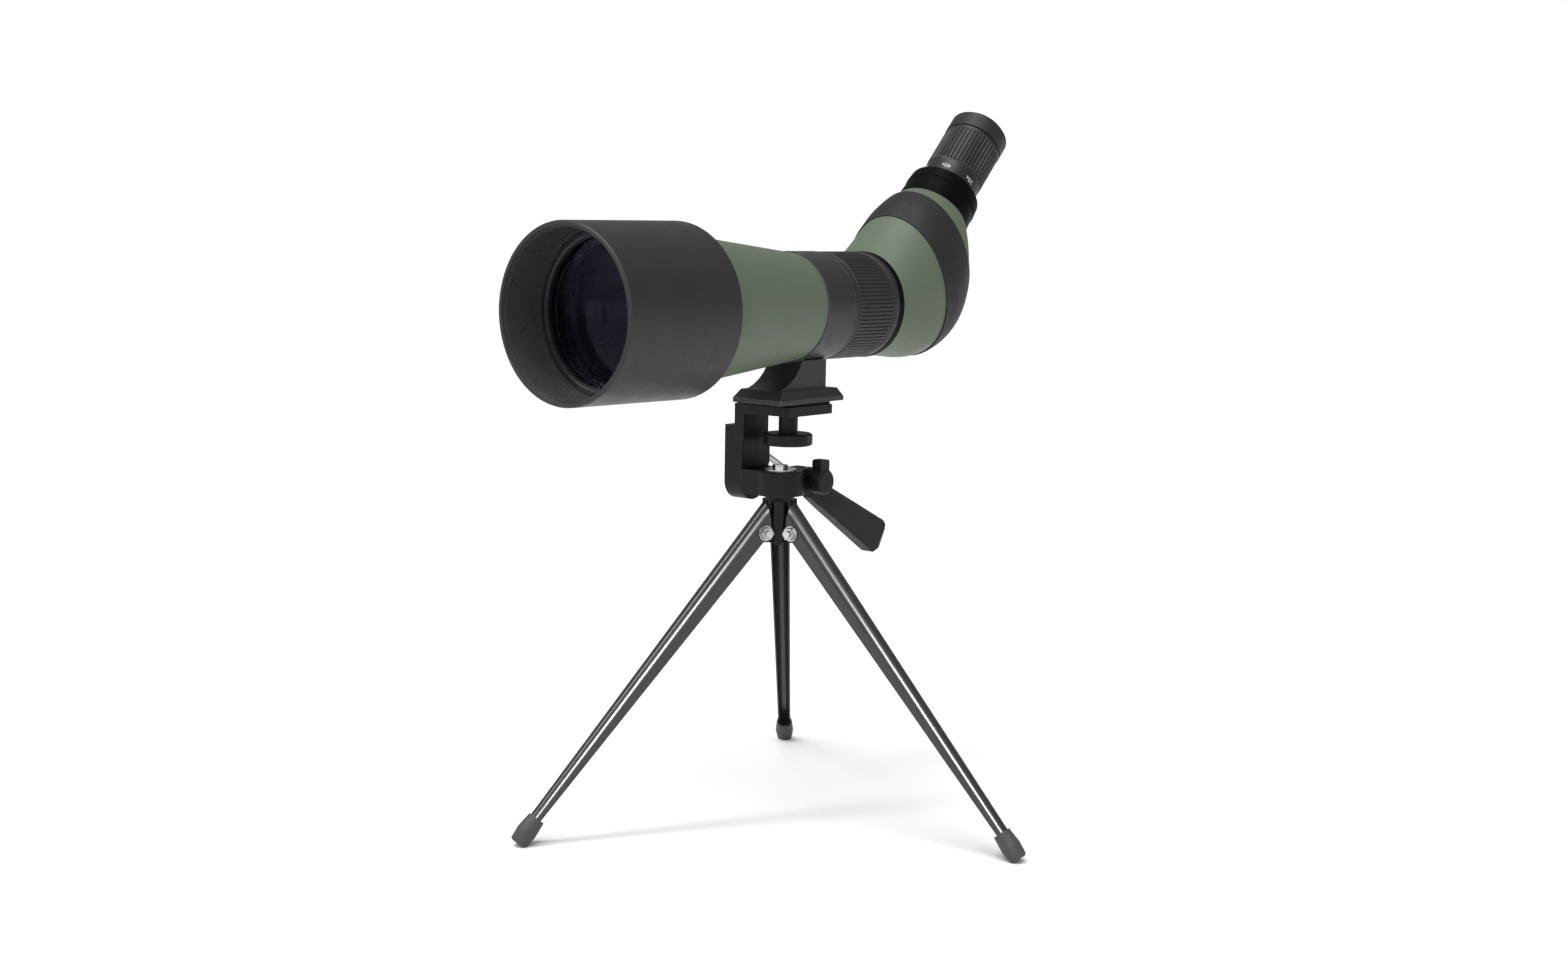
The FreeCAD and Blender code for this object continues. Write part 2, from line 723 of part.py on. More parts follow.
def build_mount_collar():
    body = new_body("mount_collar")
    sketch_place = {"shift": ("0", "axis_height", "0")}
    turned(body, ring_corners(
        "collar_rear_x", "collar_front_x", "sleeve_radius + press_gap", "collar_radius"), **sketch_place)
    neck_root = "axis_height - collar_radius + neck_overlap"
    padded(body, "XZ_Plane", lambda sketch: draw_outline(sketch, [
        ("neck_rear_x", "foot_top_z - neck_sink"), ("foot_top_front_x", "foot_top_z - neck_sink"),
        ("foot_top_front_x", "foot_top_z", "neck_front_curve"),
        ("neck_front_x", "neck_top_z"), ("neck_front_x", neck_root),
        ("neck_rear_x", neck_root)]), "-neck_half_width", "neck_half_width")
    padded(body, "XY_Plane", lambda sketch: draw_outline(sketch, box_corners(
        "foot_rear_x", "foot_front_x", "-foot_half_width", "foot_half_width")),
        "foot_bottom_z", "foot_bottom_z + foot_flange")
    lower = layer_sketch(body, "XY_Plane", "foot_bottom_z + foot_flange", {})
    draw_outline(lower, box_corners(
        "foot_rear_x", "foot_front_x", "-foot_half_width", "foot_half_width"))
    upper = layer_sketch(body, "XY_Plane", "foot_top_z", {})
    draw_outline(upper, box_corners(
        "foot_top_rear_x", "foot_top_front_x", "-foot_top_half_width", "foot_top_half_width"))
    flare = body.newObject("PartDesign::AdditiveLoft", "flare")
    flare.Profile = lower
    flare.Sections = [upper]
    flare.Ruled = True
    document.recompute()
    bore = [("0", "foot_bottom_z - overcut"), ("mount_hole_radius", "foot_bottom_z - overcut"),
            ("mount_hole_radius", "mount_hole_top_z"), ("0", "mount_hole_top_z + drill_point")]
    turned_cut(body, bore, axis="V_Axis", shift=("mount_hole_x", "0", "0"))


# ---------------------------------------------------------------- focusing

def build_focus_ring():
    body = scope_body("focus_ring")
    band = "focus_front_x - focus_band_width"
    rear_band = "focus_rear_x + focus_rear_land"
    turned(body, [
        ("focus_rear_x", "focus_bore"), ("focus_front_x", "focus_bore"),
        ("focus_front_x", "focus_radius - focus_edge"), ("focus_front_x - focus_edge", "focus_radius"),
        (band, "focus_radius"), (band, "focus_rib_radius"), (rear_band, "focus_rib_radius"),
        (rear_band, "focus_radius"), ("focus_rear_x", "focus_radius")])


def build_focus_cam_sleeve():
    body = scope_body("focus_cam_sleeve")
    turned(body, ring_corners("cam_rear_x", "cam_front_x", "cam_bore", "cam_radius"))
    helical_slot(body, "carriage_centre_x", "cam_slot_width", "cam_bore", "cam_radius",
                 "cam_pitch", "cam_turns")


def build_focus_carriage():
    body = scope_body("focus_carriage")
    front = "carriage_centre_x + carriage_length / 2"
    rear = "carriage_centre_x - carriage_length / 2"
    turned(body, [
        (rear, "carriage_seat_bore"), (f"{rear} + carriage_seat", "carriage_seat_bore"),
        (f"{rear} + carriage_seat", "carriage_bore"), (front, "carriage_bore"),
        (front, "carriage_radius"), (rear, "carriage_radius")])
    padded(body, "XY_Plane", lambda sketch: draw_circle(
        sketch, "carriage_centre_x", "0", "key_pin_radius"),
        "carriage_bore + key_pin_root", "cam_radius - end_gap")

    lens = scope_body("focus_lens")
    edge = "carriage_bore - press_gap"
    lens_rear = f"{rear} + carriage_seat"
    lens_front = f"{lens_rear} + focus_lens_edge"
    hollow = f"focus_lens_curve - sqrt(focus_lens_curve ^ 2 - ({edge}) ^ 2)"
    turned(lens, [
        (lens_rear, "0"), (f"{lens_front} - ({hollow})", "0", "focus_lens_curve"),
        (lens_front, edge), (lens_rear, edge)])


def build_focus_retaining_ring():
    body = scope_body("focus_retaining_ring")
    turned(body, ring_corners(
        "retainer_rear_x", "retainer_front_x", "sleeve_radius + press_gap", "focus_radius"))


# ---------------------------------------------------------------- prism housing

def housing_solid(name, growth):
    """A solid through all the housing's oval sections, each grown by the same amount."""
    sections = []
    for section_name, *_ in HOUSING_SECTIONS:
        oval = document.addObject("Part::Ellipse", f"{name}_{section_name}")
        oval.Placement = FreeCAD.Placement(
            FreeCAD.Vector(amount(f"{section_name}_x"), 0, amount(f"axis_height + {section_name}_z")),
            FreeCAD.Rotation(FreeCAD.Vector(0, 1, 0), 90))
        oval.setExpression("Placement.Base.x", bound(f"{section_name}_x"))
        oval.setExpression("Placement.Base.z", bound(f"axis_height + {section_name}_z"))
        oval.setExpression("Placement.Rotation.Angle", bound(f"90 + {section_name}_lean"))
        oval.setExpression("MajorRadius", bound(f"{section_name}_half_height + {growth}"))
        oval.setExpression("MinorRadius", bound(f"{section_name}_half_width + {growth}"))
        sections.append(oval)
    loft = document.addObject("Part::Loft", name)
    loft.Sections = sections
    loft.Solid = True
    return loft


def side_solid(name, corners):
    """A solid with a straight-sided outline seen from the side, wider than the scope."""
    body = document.addObject("PartDesign::Body", name)
    sketch = new_sketch(body, "XZ_Plane")
    draw_outline(sketch, [(x, f"axis_height + ({z})") for x, z in corners])
    feature = body.newObject("PartDesign::Pad", "pad")
    feature.Profile = sketch
    feature.setExpression("Length", bound("housing_span"))
    feature.Midplane = True
    return body


def combine(kind, name, base, tool):
    feature = document.addObject(kind, name)
    feature.Base = base
    feature.Tool = tool
    return feature


def round_tool(name, radius, x_low, x_high):
    """A cylinder on the optical axis."""
    tool = document.addObject("Part::Cylinder", name)
    tool.Placement = FreeCAD.Placement(
        FreeCAD.Vector(0, 0, amount("axis_height")), FreeCAD.Rotation(FreeCAD.Vector(0, 1, 0), 90))
    tool.setExpression("Placement.Base.x", bound(x_low))
    tool.setExpression("Placement.Base.z", bound("axis_height"))
    tool.setExpression("Radius", bound(radius))
    tool.setExpression("Height", bound(f"({x_high}) - ({x_low})"))
    return tool


def eye_tool(name, radius, low, high):
    """A cylinder on the eyepiece's axis, between two distances from the elbow."""
    tool = document.addObject("Part::Cylinder", name)
    tool.Placement = FreeCAD.Placement(
        FreeCAD.Vector(0, 0, 0), FreeCAD.Rotation(FreeCAD.Vector(0, 1, 0), -amount("90 - eye_angle")))
    tool.setExpression("Placement.Base.x", bound(f"elbow_x - ({low}) * cos(eye_angle * 1 deg)"))
    tool.setExpression("Placement.Base.z", bound(f"axis_height + ({low}) * sin(eye_angle * 1 deg)"))
    tool.setExpression("Placement.Rotation.Angle", bound("90 - eye_angle"))
    tool.Placement.Rotation.Axis = FreeCAD.Vector(0, -1, 0)
    tool.setExpression("Radius", bound(radius))
    tool.setExpression("Height", bound(f"({high}) - ({low})"))
    return tool


def past_end(start, end):
    """The point beyond end on the line from start to end, for two named points of the armour's edges."""
    return tuple(
        f"{end}_{axis} + band_overrun * ({end}_{axis} - {start}_{axis})" for axis in ("x", "z"))


def build_prism_housing():
    outer = housing_solid("housing_outer", "0")
    inner = housing_solid("housing_inner", "(-housing_wall)")
    skin = housing_solid("housing_skin", "armour_thickness")

    # the hollow starts behind the front wall
    hollow_front = "retainer_rear_x - housing_front_wall"
    hollow_zone = side_solid("hollow_zone", box_corners(
        "hollow_rear_x", hollow_front, "hollow_bottom_z", "hollow_top_z"))
    hollow = combine("Part::Common", "hollow", inner, hollow_zone)
    bored = combine("Part::Cut", "bored_front", outer, round_tool(
        "sleeve_hole", "sleeve_radius + press_gap", "sleeve_rear_x - sleeve_hole_overrun",
        "retainer_rear_x + overcut"))
    opened = combine("Part::Cut", "opened_rear", bored, eye_tool(
        "barrel_hole", "barrel_flange_radius", "barrel_base - barrel_hole_overrun",
        "eye_collar_base + overcut"))
    shell = combine("Part::Cut", "housing_shell", opened, hollow)

    band_zone = side_solid("band_zone", [
        past_end("armour_front_top", "armour_front_bottom"),
        past_end("armour_front_bottom", "armour_front_top"),
        past_end("armour_rear_bottom", "armour_rear_top"),
        past_end("armour_rear_top", "armour_rear_bottom")])
    front_corners = [
        ("split_front_x", "split_bottom_z"), ("split_front_x", "split_top_z"),
        ("split_top_x", "split_top_z"), ("split_bottom_x", "split_bottom_z")]
    front_zone = side_solid("front_zone", front_corners)
    front = combine("Part::Common", "prism_housing_front", shell, front_zone)
    rear = combine("Part::Cut", "prism_housing_rear", shell, side_solid("rear_zone", front_corners))
    sleeve = combine("Part::Cut", "armour_layer", skin, housing_solid("housing_core", "0"))
    armour = combine("Part::Common", "armour_band", sleeve, band_zone)
    parts.extend([front, rear, armour])


def outline_corners(name):
    """The aliases of one of the prism outlines."""
    return [(f"{name}_corner_{letter}_x", f"{name}_corner_{letter}_z")
            for letter, place in zip("abcdefg", PRISM_OUTLINES[name])]


def build_prism_cage():
    body = scope_body("prism_cage")
    plate_rear = "cage_front_x - cage_plate"
    inner_face = "(prism_half_width + prism_gap)"
    outer_face = "(prism_half_width + prism_gap + cage_plate)"
    turned(body, ring_corners(plate_rear, "cage_front_x", "cage_window", "cage_disc_radius"))
    for low, high in ((inner_face, outer_face), (f"-{outer_face}", f"-{inner_face}")):
        padded(body, "XZ_Plane", lambda sketch: draw_outline(sketch, outline_corners("cheek")), low, high)
    padded(body, "XZ_Plane", lambda sketch: draw_outline(sketch, box_corners(
        "cage_tie_rear_x", "cage_tie_front_x", "cage_tie_bottom_z", "cage_tie_top_z")),
        f"-{outer_face}", outer_face)

    screws = scope_body("cage_screws")
    screws.AllowCompound = True
    head = padded(screws, "YZ_Plane", lambda sketch: draw_circle(
        sketch, "0", "cage_screw_circle", "cage_screw_radius"), f"{plate_rear} - cage_screw_head", plate_rear)
    spread_round(screws, [head], "X_Axis", CAGE_SCREWS)


def build_prisms():
    for body_name, outline_name in (("half_penta_prism", "wedge"), ("roof_prism", "roof")):
        body = scope_body(body_name)
        padded(body, "XZ_Plane", lambda sketch: draw_outline(sketch, outline_corners(outline_name)),
               "-prism_half_width", "prism_half_width")


# ---------------------------------------------------------------- eyepiece

def build_eyepiece_collar():
    body = eyepiece_body("eyepiece_collar")
    step = "eye_collar_base + eye_collar_step"
    turned(body, [
        ("eye_collar_base", "eye_collar_bore"), ("eye_collar_top", "eye_collar_bore"),
        ("eye_collar_top", "eye_collar_top_radius - eye_collar_round_width", "eye_collar_round"),
        ("eye_collar_top - eye_collar_round_length", "eye_collar_top_radius"),
        (f"{step} + eye_collar_step_slope", "eye_collar_top_radius + eye_collar_step_rise"),
        (step, "eye_collar_base_radius - eye_collar_step_sink"),
        ("eye_collar_base", "eye_collar_base_radius")])


def build_eyepiece_barrel():
    body = eyepiece_body("eyepiece_barrel")
    flange_top = "zoom_base - barrel_flange_gap"
    seat_rear = "eye_lens_place - eye_seat_depth"
    turned(body, [
        ("barrel_base", "barrel_bore"), (seat_rear, "barrel_bore"), (seat_rear, "eye_seat_bore"),
        ("eye_lens_place", "eye_seat_bore"), ("eye_lens_place", "barrel_bore"),
        ("barrel_top", "barrel_bore"), ("barrel_top", "barrel_radius"),
        (flange_top, "barrel_radius"), (flange_top, "barrel_flange_radius - press_gap"),
        ("barrel_base", "barrel_flange_radius - press_gap")])
    # straight slots that keep the two zoom carriers from turning
    for place in ("zoom_front_place", "zoom_rear_place"):
        pocketed(body, "XY_Plane", lambda sketch: draw_outline(sketch, box_corners(
            f"{place} - zoom_slot_reach", f"{place} + zoom_slot_reach",
            "-zoom_slot_width / 2", "zoom_slot_width / 2")),
            "barrel_bore - overcut", "barrel_radius + overcut")


def build_zoom_ring():
    ring = eyepiece_body("zoom_ring")
    scale_top = "zoom_base + zoom_scale_length"
    turned(ring, [
        ("zoom_base", "zoom_lip_bore"), ("zoom_cam_base - run_gap", "zoom_lip_bore"),
        ("zoom_cam_base - run_gap", "zoom_bore"), ("zoom_top", "zoom_bore"),
        ("zoom_top", "zoom_radius - zoom_edge"), ("zoom_top - zoom_edge", "zoom_radius"),
        (scale_top, "zoom_radius"), (scale_top, "zoom_radius - zoom_scale_sink"),
        ("zoom_base", "zoom_radius - zoom_scale_sink")])

    cam = eyepiece_body("zoom_cam_sleeve")
    turned(cam, ring_corners("zoom_cam_base", "zoom_cam_top", "zoom_cam_bore", "zoom_cam_radius"))
    helical_slot(cam, "zoom_front_place", "zoom_slot_width", "zoom_cam_bore", "zoom_cam_radius",
                 "zoom_front_pitch", "zoom_turns")
    helical_slot(cam, "zoom_rear_place", "zoom_slot_width", "zoom_cam_bore", "zoom_cam_radius",
                 "zoom_rear_pitch", "zoom_turns", left_handed=True)


def build_zoom_group(name, place, bulge):
    """A carrier with its lens; the lens bulges for +1 and is hollow for -1."""
    carrier = eyepiece_body(f"zoom_{name}_carrier")
    base = f"{place} - zoom_carrier_length / 2"
    top = f"{place} + zoom_carrier_length / 2"
    seat = f"{base} + zoom_seat_depth"
    seat_bore = "zoom_lens_radius - zoom_seat_width"
    bore = "zoom_lens_radius + press_gap"
    turned(carrier, [
        (base, seat_bore), (seat, seat_bore), (seat, bore), (top, bore),
        (top, "zoom_carrier_radius"), (base, "zoom_carrier_radius")])
    padded(carrier, "XY_Plane", lambda sketch: draw_circle(
        sketch, place, "0", "zoom_pin_radius"),
        "zoom_lens_radius + zoom_pin_root", "zoom_cam_radius - end_gap")

    lens = eyepiece_body(f"zoom_{name}_lens")
    sag = "zoom_lens_curve - sqrt(zoom_lens_curve ^ 2 - zoom_lens_radius ^ 2)"
    edge = f"{seat} + zoom_lens_edge"
    turned(lens, [
        (seat, "0"), (f"{edge} + ({bulge}) * ({sag})", "0", f"({bulge}) * (-zoom_lens_curve)"),
        (edge, "zoom_lens_radius"), (seat, "zoom_lens_radius")])


def build_eye_lens():
    lens = eyepiece_body("eye_lens")
    edge = "barrel_bore - press_gap"
    lens_top = "eye_lens_place + eye_lens_edge"
    bulge = f"eye_lens_curve - sqrt(eye_lens_curve ^ 2 - ({edge}) ^ 2)"
    turned(lens, [
        ("eye_lens_place", "0"), (f"{lens_top} + {bulge}", "0", "-eye_lens_curve"),
        (lens_top, edge), ("eye_lens_place", edge)])
    ring = eyepiece_body("eye_lens_ring")
    turned(ring, ring_corners(f"{lens_top} + eye_lens_relief", "barrel_top", "eye_seat_bore", edge))


def build_eyecup():
    sleeve = eyepiece_body("eyecup_sleeve")
    turned(sleeve, ring_corners("guide_base", "guide_top", "guide_bore", "guide_radius"))
    cup = eyepiece_body("eyecup")
    lip = "eyecup_top - eyecup_lip"
    turned(cup, [
        ("eyecup_base", "eyecup_bore"), (lip, "eyecup_bore"), (lip, "eyecup_mouth"),
        ("eyecup_top - eyecup_inner_edge", "eyecup_mouth"),
        ("eyecup_top", "eyecup_mouth + eyecup_inner_edge"),
        ("eyecup_top", "eyecup_radius - eyecup_round_width", "eyecup_round"),
        ("eyecup_top - eyecup_round_width", "eyecup_radius"),
        ("eyecup_base", "eyecup_radius")])


# ---------------------------------------------------------------- tilting head

def build_head_pad():
    body = new_body("head_pad")
    padded(body, "XY_Plane", lambda sketch: draw_outline(sketch, box_corners(
        "platform_rear_x + pad_inset", "platform_front_x - pad_inset",
        "platform_right_y + pad_inset", "platform_left_y - pad_inset")),
        "platform_top_z", "foot_bottom_z")
    turned_cut(body, [
        ("0", "platform_top_z - overcut"), ("pad_hole", "platform_top_z - overcut"),
        ("pad_hole", "foot_bottom_z + overcut"), ("0", "foot_bottom_z + overcut")],
        axis="V_Axis", shift=("mount_hole_x", "0", "0"))


def build_tilt_bracket():
    body = new_body("tilt_bracket")
    boss_low = "handle_start_z - handle_boss_half"
    boss_high = "handle_start_z + handle_boss_half"
    padded(body, "XZ_Plane", lambda sketch: draw_outline(sketch, [
        ("upright_front_x", "tilt_z", "tilt_round"), ("tilt_x", "tilt_z - tilt_round", "tilt_round"),
        ("upright_rear_x", "tilt_z"), ("upright_boss_x", boss_low), ("upright_boss_x", boss_high),
        ("upright_rear_x", "upright_top_z - upright_shoulder"), ("upright_rear_x", "upright_top_z"),
        ("upright_front_x", "upright_top_z")]), "-upright_left_y", "-upright_right_y")
    padded(body, "XY_Plane", lambda sketch: draw_outline(sketch, box_corners(
        "arm_rear_x", "platform_front_x", "platform_right_y", "arm_left_y")),
        "upright_top_z - arm_drop", "platform_bottom_z")
    padded(body, "XY_Plane", lambda sketch: draw_outline(sketch, box_corners(
        "platform_rear_x", "platform_front_x", "platform_right_y", "platform_left_y")),
        "platform_bottom_z", "platform_top_z")
    turned_cut(body, [
        ("0", "platform_bottom_z - overcut"), ("platform_hole", "platform_bottom_z - overcut"),
        ("platform_hole", "platform_top_z + overcut"), ("0", "platform_top_z + overcut")],
        axis="V_Axis", shift=("mount_hole_x", "0", "0"))
    turned_cut(body, [
        ("0", "upright_right_y - overcut"), ("tilt_bolt_radius + bolt_gap", "upright_right_y - overcut"),
        ("tilt_bolt_radius + bolt_gap", "upright_left_y + overcut"), ("0", "upright_left_y + overcut")],
        axis="V_Axis", role="XY_Plane", shift=("tilt_x", "0", "tilt_z"))
    turned_cut(body, [
        ("-rod_socket_depth - rod_end_gap", "0"), ("rod_socket_overcut", "0"),
        ("rod_socket_overcut", "rod_radius + bolt_gap"),
        ("-rod_socket_depth - rod_end_gap", "rod_radius + bolt_gap")],
        shift=("handle_start_x", "handle_start_z", "-handle_y"), tip="180 + handle_drop",
        tip_axis=(0, 0, 1))


def build_tilt_bolt():
    bolt = new_body("tilt_bolt")
    face = "upright_right_y - washer_thickness - run_gap"
    turned(bolt, [
        ("0", f"{face} - tilt_head_depth"), ("tilt_head_radius", f"{face} - tilt_head_depth"),
        ("tilt_head_radius", face), ("tilt_bolt_radius", face),
        ("tilt_bolt_radius", "tilt_bolt_tip_y"), ("0", "tilt_bolt_tip_y")],
        axis="V_Axis", role="XY_Plane", shift=("tilt_x", "0", "tilt_z"))
    washer = new_body("tilt_washer")
    turned(washer, [
        ("tilt_bolt_radius + press_gap", face), ("tilt_washer_radius", face),
        ("tilt_washer_radius", f"{face} + washer_thickness"),
        ("tilt_bolt_radius + press_gap", f"{face} + washer_thickness")],
        axis="V_Axis", role="XY_Plane", shift=("tilt_x", "0", "tilt_z"))


def build_camera_screw():
    screw = new_body("camera_screw")
    wheel_seat = "wheel_bottom_z + wheel_floor"
    turned(screw, [
        ("0", wheel_seat), ("screw_radius", wheel_seat),
        ("screw_radius", "screw_top_z - screw_point_length"),
        ("screw_radius - screw_point_trim", "screw_top_z"),
        ("0", "screw_top_z")], axis="V_Axis", shift=("mount_hole_x", "0", "0"))
    wheel = new_body("thumb_wheel")
    turned(wheel, [
        ("0", "wheel_bottom_z"), ("wheel_radius - wheel_edge", "wheel_bottom_z"),
        ("wheel_radius", "wheel_bottom_z + wheel_edge"), ("wheel_radius", "wheel_top_z - wheel_edge"),
        ("wheel_radius - wheel_edge", "wheel_top_z"), ("wheel_hub_radius", "wheel_top_z"),
        ("wheel_hub_radius", "wheel_hub_top_z"), ("screw_radius + thread_gap", "wheel_hub_top_z"),
        ("screw_radius + thread_gap", wheel_seat), ("0", wheel_seat)],
        axis="V_Axis", shift=("mount_hole_x", "0", "0"))


# ---------------------------------------------------------------- pan base

def build_pan_base():
    body = new_body("pan_base")
    turned(body, [
        ("0", "base_bottom_z"), ("base_radius", "base_bottom_z"), ("base_radius", "base_top_z - base_edge"),
        ("base_radius - base_edge", "base_top_z"), ("0", "base_top_z")], axis="V_Axis")
    padded(body, "XY_Plane", lambda sketch: draw_outline(sketch, box_corners(
        "-base_arm_half_width", "base_arm_half_width", "base_arm_right_y", "0")),
        "base_bottom_z", "base_top_z")
    padded(body, "XY_Plane", lambda sketch: draw_outline(sketch, box_corners(
        "ear_rear_x", "-base_bore", "-ear_half_width", "ear_half_width")),
        "base_bottom_z", "base_top_z")
    turned_cut(body, [
        ("0", "base_bottom_z - overcut"), ("base_bore", "base_bottom_z - overcut"),
        ("base_bore", "base_top_z + overcut"), ("0", "base_top_z + overcut")], axis="V_Axis")
    pocketed(body, "XY_Plane", lambda sketch: draw_outline(sketch, box_corners(
        "ear_rear_x - overcut", "0", "-ear_slit / 2", "ear_slit / 2")),
        "base_bottom_z - overcut", "base_top_z + overcut")
    turned_cut(body, [
        ("0", "-ear_half_width - overcut"), ("lock_screw_radius + bolt_gap", "-ear_half_width - overcut"),
        ("lock_screw_radius + bolt_gap", "ear_half_width + overcut"), ("0", "ear_half_width + overcut")],
        axis="V_Axis", role="XY_Plane", shift=("lock_x", "0", "lock_z"))
    turned_cut(body, [
        ("0", "base_arm_right_y - overcut"), ("tilt_bolt_radius + thread_gap", "base_arm_right_y - overcut"),
        ("tilt_bolt_radius + thread_gap", "tilt_bolt_tip_y + end_gap"), ("0", "tilt_bolt_tip_y + end_gap")],
        axis="V_Axis", role="XY_Plane", shift=("tilt_x", "0", "tilt_z"))


def build_pan_lock():
    screw = new_body("pan_lock_screw")
    at_lock = {"axis": "V_Axis", "role": "XY_Plane", "shift": ("lock_x", "0", "lock_z")}
    screw_end = "-ear_half_width - run_gap - lock_nut_depth - lock_screw_stub"
    turned(screw, [
        ("0", screw_end), ("lock_screw_radius", screw_end),
        ("lock_screw_radius", "lock_screw_left_y"), ("0", "lock_screw_left_y")], **at_lock)
    nut = new_body("pan_lock_nut")
    padded(nut, "XZ_Plane", lambda sketch: draw_hexagon(
        sketch, "lock_x", "lock_z", "lock_nut_radius"), "ear_half_width", "ear_half_width + lock_nut_depth")
    turned_cut(nut, [
        ("0", "-ear_half_width - lock_nut_depth - overcut"),
        ("lock_screw_radius + bolt_gap", "-ear_half_width - lock_nut_depth - overcut"),
        ("lock_screw_radius + bolt_gap", "-ear_half_width + overcut"),
        ("0", "-ear_half_width + overcut")], **at_lock)
    lever = new_body("pan_lock_lever")
    fin_rear = "lock_x - lever_fin_rear"
    fin_front = "lock_x + lever_fin_front"
    fin_root = "lever_hub_radius - lever_edge"
    bore = "lock_screw_radius + thread_gap"
    turned(lever, [
        ("0", "lever_right_y"), ("lever_hub_radius - lever_hub_taper", "lever_right_y"),
        ("lever_hub_radius", "lever_right_y + lever_hub_slope"),
        ("lever_hub_radius", "lever_left_y - lever_edge"),
        ("lever_hub_radius - lever_edge", "lever_left_y"), ("0", "lever_left_y")], **at_lock)
    padded(lever, "XZ_Plane", lambda sketch: draw_outline(sketch, [
        (f"lock_x - ({fin_root})", "lock_z"), (f"lock_x + {fin_root}", "lock_z", "lever_flare_round"),
        (fin_front, "lock_z + lever_flare_height"),
        (fin_front, "lever_top_z - lever_corner", "-lever_corner_round"),
        (f"{fin_front} - lever_corner", "lever_top_z"),
        (f"{fin_rear} + lever_corner", "lever_top_z", "-lever_corner_round"),
        (fin_rear, "lever_top_z - lever_corner"),
        (fin_rear, "lock_z + lever_flare_height", "lever_flare_round")]),
        "lever_edge - lever_left_y", "-lever_right_y - lever_arm_inset")
    turned_cut(lever, [
        ("0", "lever_right_y - overcut"), (bore, "lever_right_y - overcut"),
        (bore, "lock_screw_left_y + end_gap"), ("0", "lock_screw_left_y + end_gap")], **at_lock)


def build_pan_screw():
    seat = "base_top_z + run_gap"
    washer = new_body("pan_washer")
    turned(washer, [
        ("pan_screw_radius + press_gap", seat), ("pan_washer_radius", seat),
        ("pan_washer_radius", f"{seat} + pan_washer_thickness"),
        ("pan_screw_radius + press_gap", f"{seat} + pan_washer_thickness")], axis="V_Axis")
    screw = new_body("pan_screw")
    head = f"{seat} + pan_washer_thickness"
    padded(screw, "XY_Plane", lambda sketch: draw_hexagon(
        sketch, "0", "0", "pan_screw_head_radius"), head, f"{head} + pan_screw_head")
    padded(screw, "XY_Plane", lambda sketch: draw_circle(
        sketch, "0", "0", "pan_screw_radius"), "pan_screw_tip_z", head)


# ---------------------------------------------------------------- handle

def handle_body(name):
    """A body whose X axis runs down the handle's rod and whose Z axis points to its underside."""
    return new_body(name, x="handle_start_x", y="handle_y", z="handle_start_z", turn="180 - handle_drop")


def eight_corners(half_depth, half_height, trim):
    """A rectangle with trimmed corners, depth along the sketch's X and height along its Y."""
    return [
        (f"({half_depth})", f"{trim} - ({half_height})"), (f"({half_depth})", f"({half_height}) - {trim}"),
        (f"({half_depth}) - {trim}", f"({half_height})"), (f"{trim} - ({half_depth})", f"({half_height})"),
        (f"-({half_depth})", f"({half_height}) - {trim}"), (f"-({half_depth})", f"{trim} - ({half_height})"),
        (f"{trim} - ({half_depth})", f"-({half_height})"), (f"({half_depth}) - {trim}", f"-({half_height})")]


def build_handle():
    rod = handle_body("handle_rod")
    turned(rod, [
        ("-rod_socket_depth", "0"), ("grip_start + rod_in_grip", "0"),
        ("grip_start + rod_in_grip", "rod_radius"), ("-rod_socket_depth", "rod_radius")])

    grip = handle_body("handle_grip")
    grip_end = "grip_start + grip_length"
    sections = []
    for place, depth, height in (
            ("grip_start", "grip_small_depth", "grip_small_radius"),
            ("grip_start + grip_head_length", "grip_small_depth + grip_swell",
             "grip_small_radius + grip_swell"),
            (f"{grip_end} - grip_end_length", "grip_large_depth", "grip_large_radius"),
            (grip_end, "grip_large_depth - grip_end_depth_drop",
             "grip_large_radius - grip_end_height_drop")):
        sketch = new_sketch(grip, "YZ_Plane", shift=("0", "0", place))
        draw_outline(sketch, eight_corners(depth, height, "grip_corner"))
        sections.append(sketch)
    loft = grip.newObject("PartDesign::AdditiveLoft", "loft")
    loft.Profile = sections[0]
    loft.Sections = sections[1:]
    loft.Ruled = True
    document.recompute()
    trough_start = "grip_start + grip_head_length + grip_trough_gap"
    trough_end = f"{grip_end} - grip_end_wall"
    pocketed(grip, "XZ_Plane", lambda sketch: draw_outline(sketch, [
        (trough_start, "-grip_small_radius + grip_wall"),
        (trough_end, "-grip_large_radius + grip_wall"),
        (trough_end, "grip_large_radius - grip_wall"),
        (trough_start, "grip_small_radius - grip_wall")]),
        "grip_wall - grip_small_depth", "grip_large_depth + overcut")
    slot_start = f"{trough_start} + grip_slot_gap"
    pocketed(grip, "XY_Plane", lambda sketch: draw_outline(sketch, box_corners(
        slot_start, f"{slot_start} + grip_slot_length", "-grip_slot_half", "grip_slot_half")),
        "-grip_large_radius - overcut", "0")
    rod_end = "grip_start + rod_in_grip + end_gap"
    turned_cut(grip, [
        ("grip_start - overcut", "0"), (rod_end, "0"), (rod_end, "rod_radius + close_gap"),
        ("grip_start - overcut", "rod_radius + close_gap")])


# ---------------------------------------------------------------- leg hub

def hub_body(name):
    """A body turned so that its X axis points along the first leg."""
    return new_body(name, turn="leg_turn", turn_axis=(0, 0, 1))


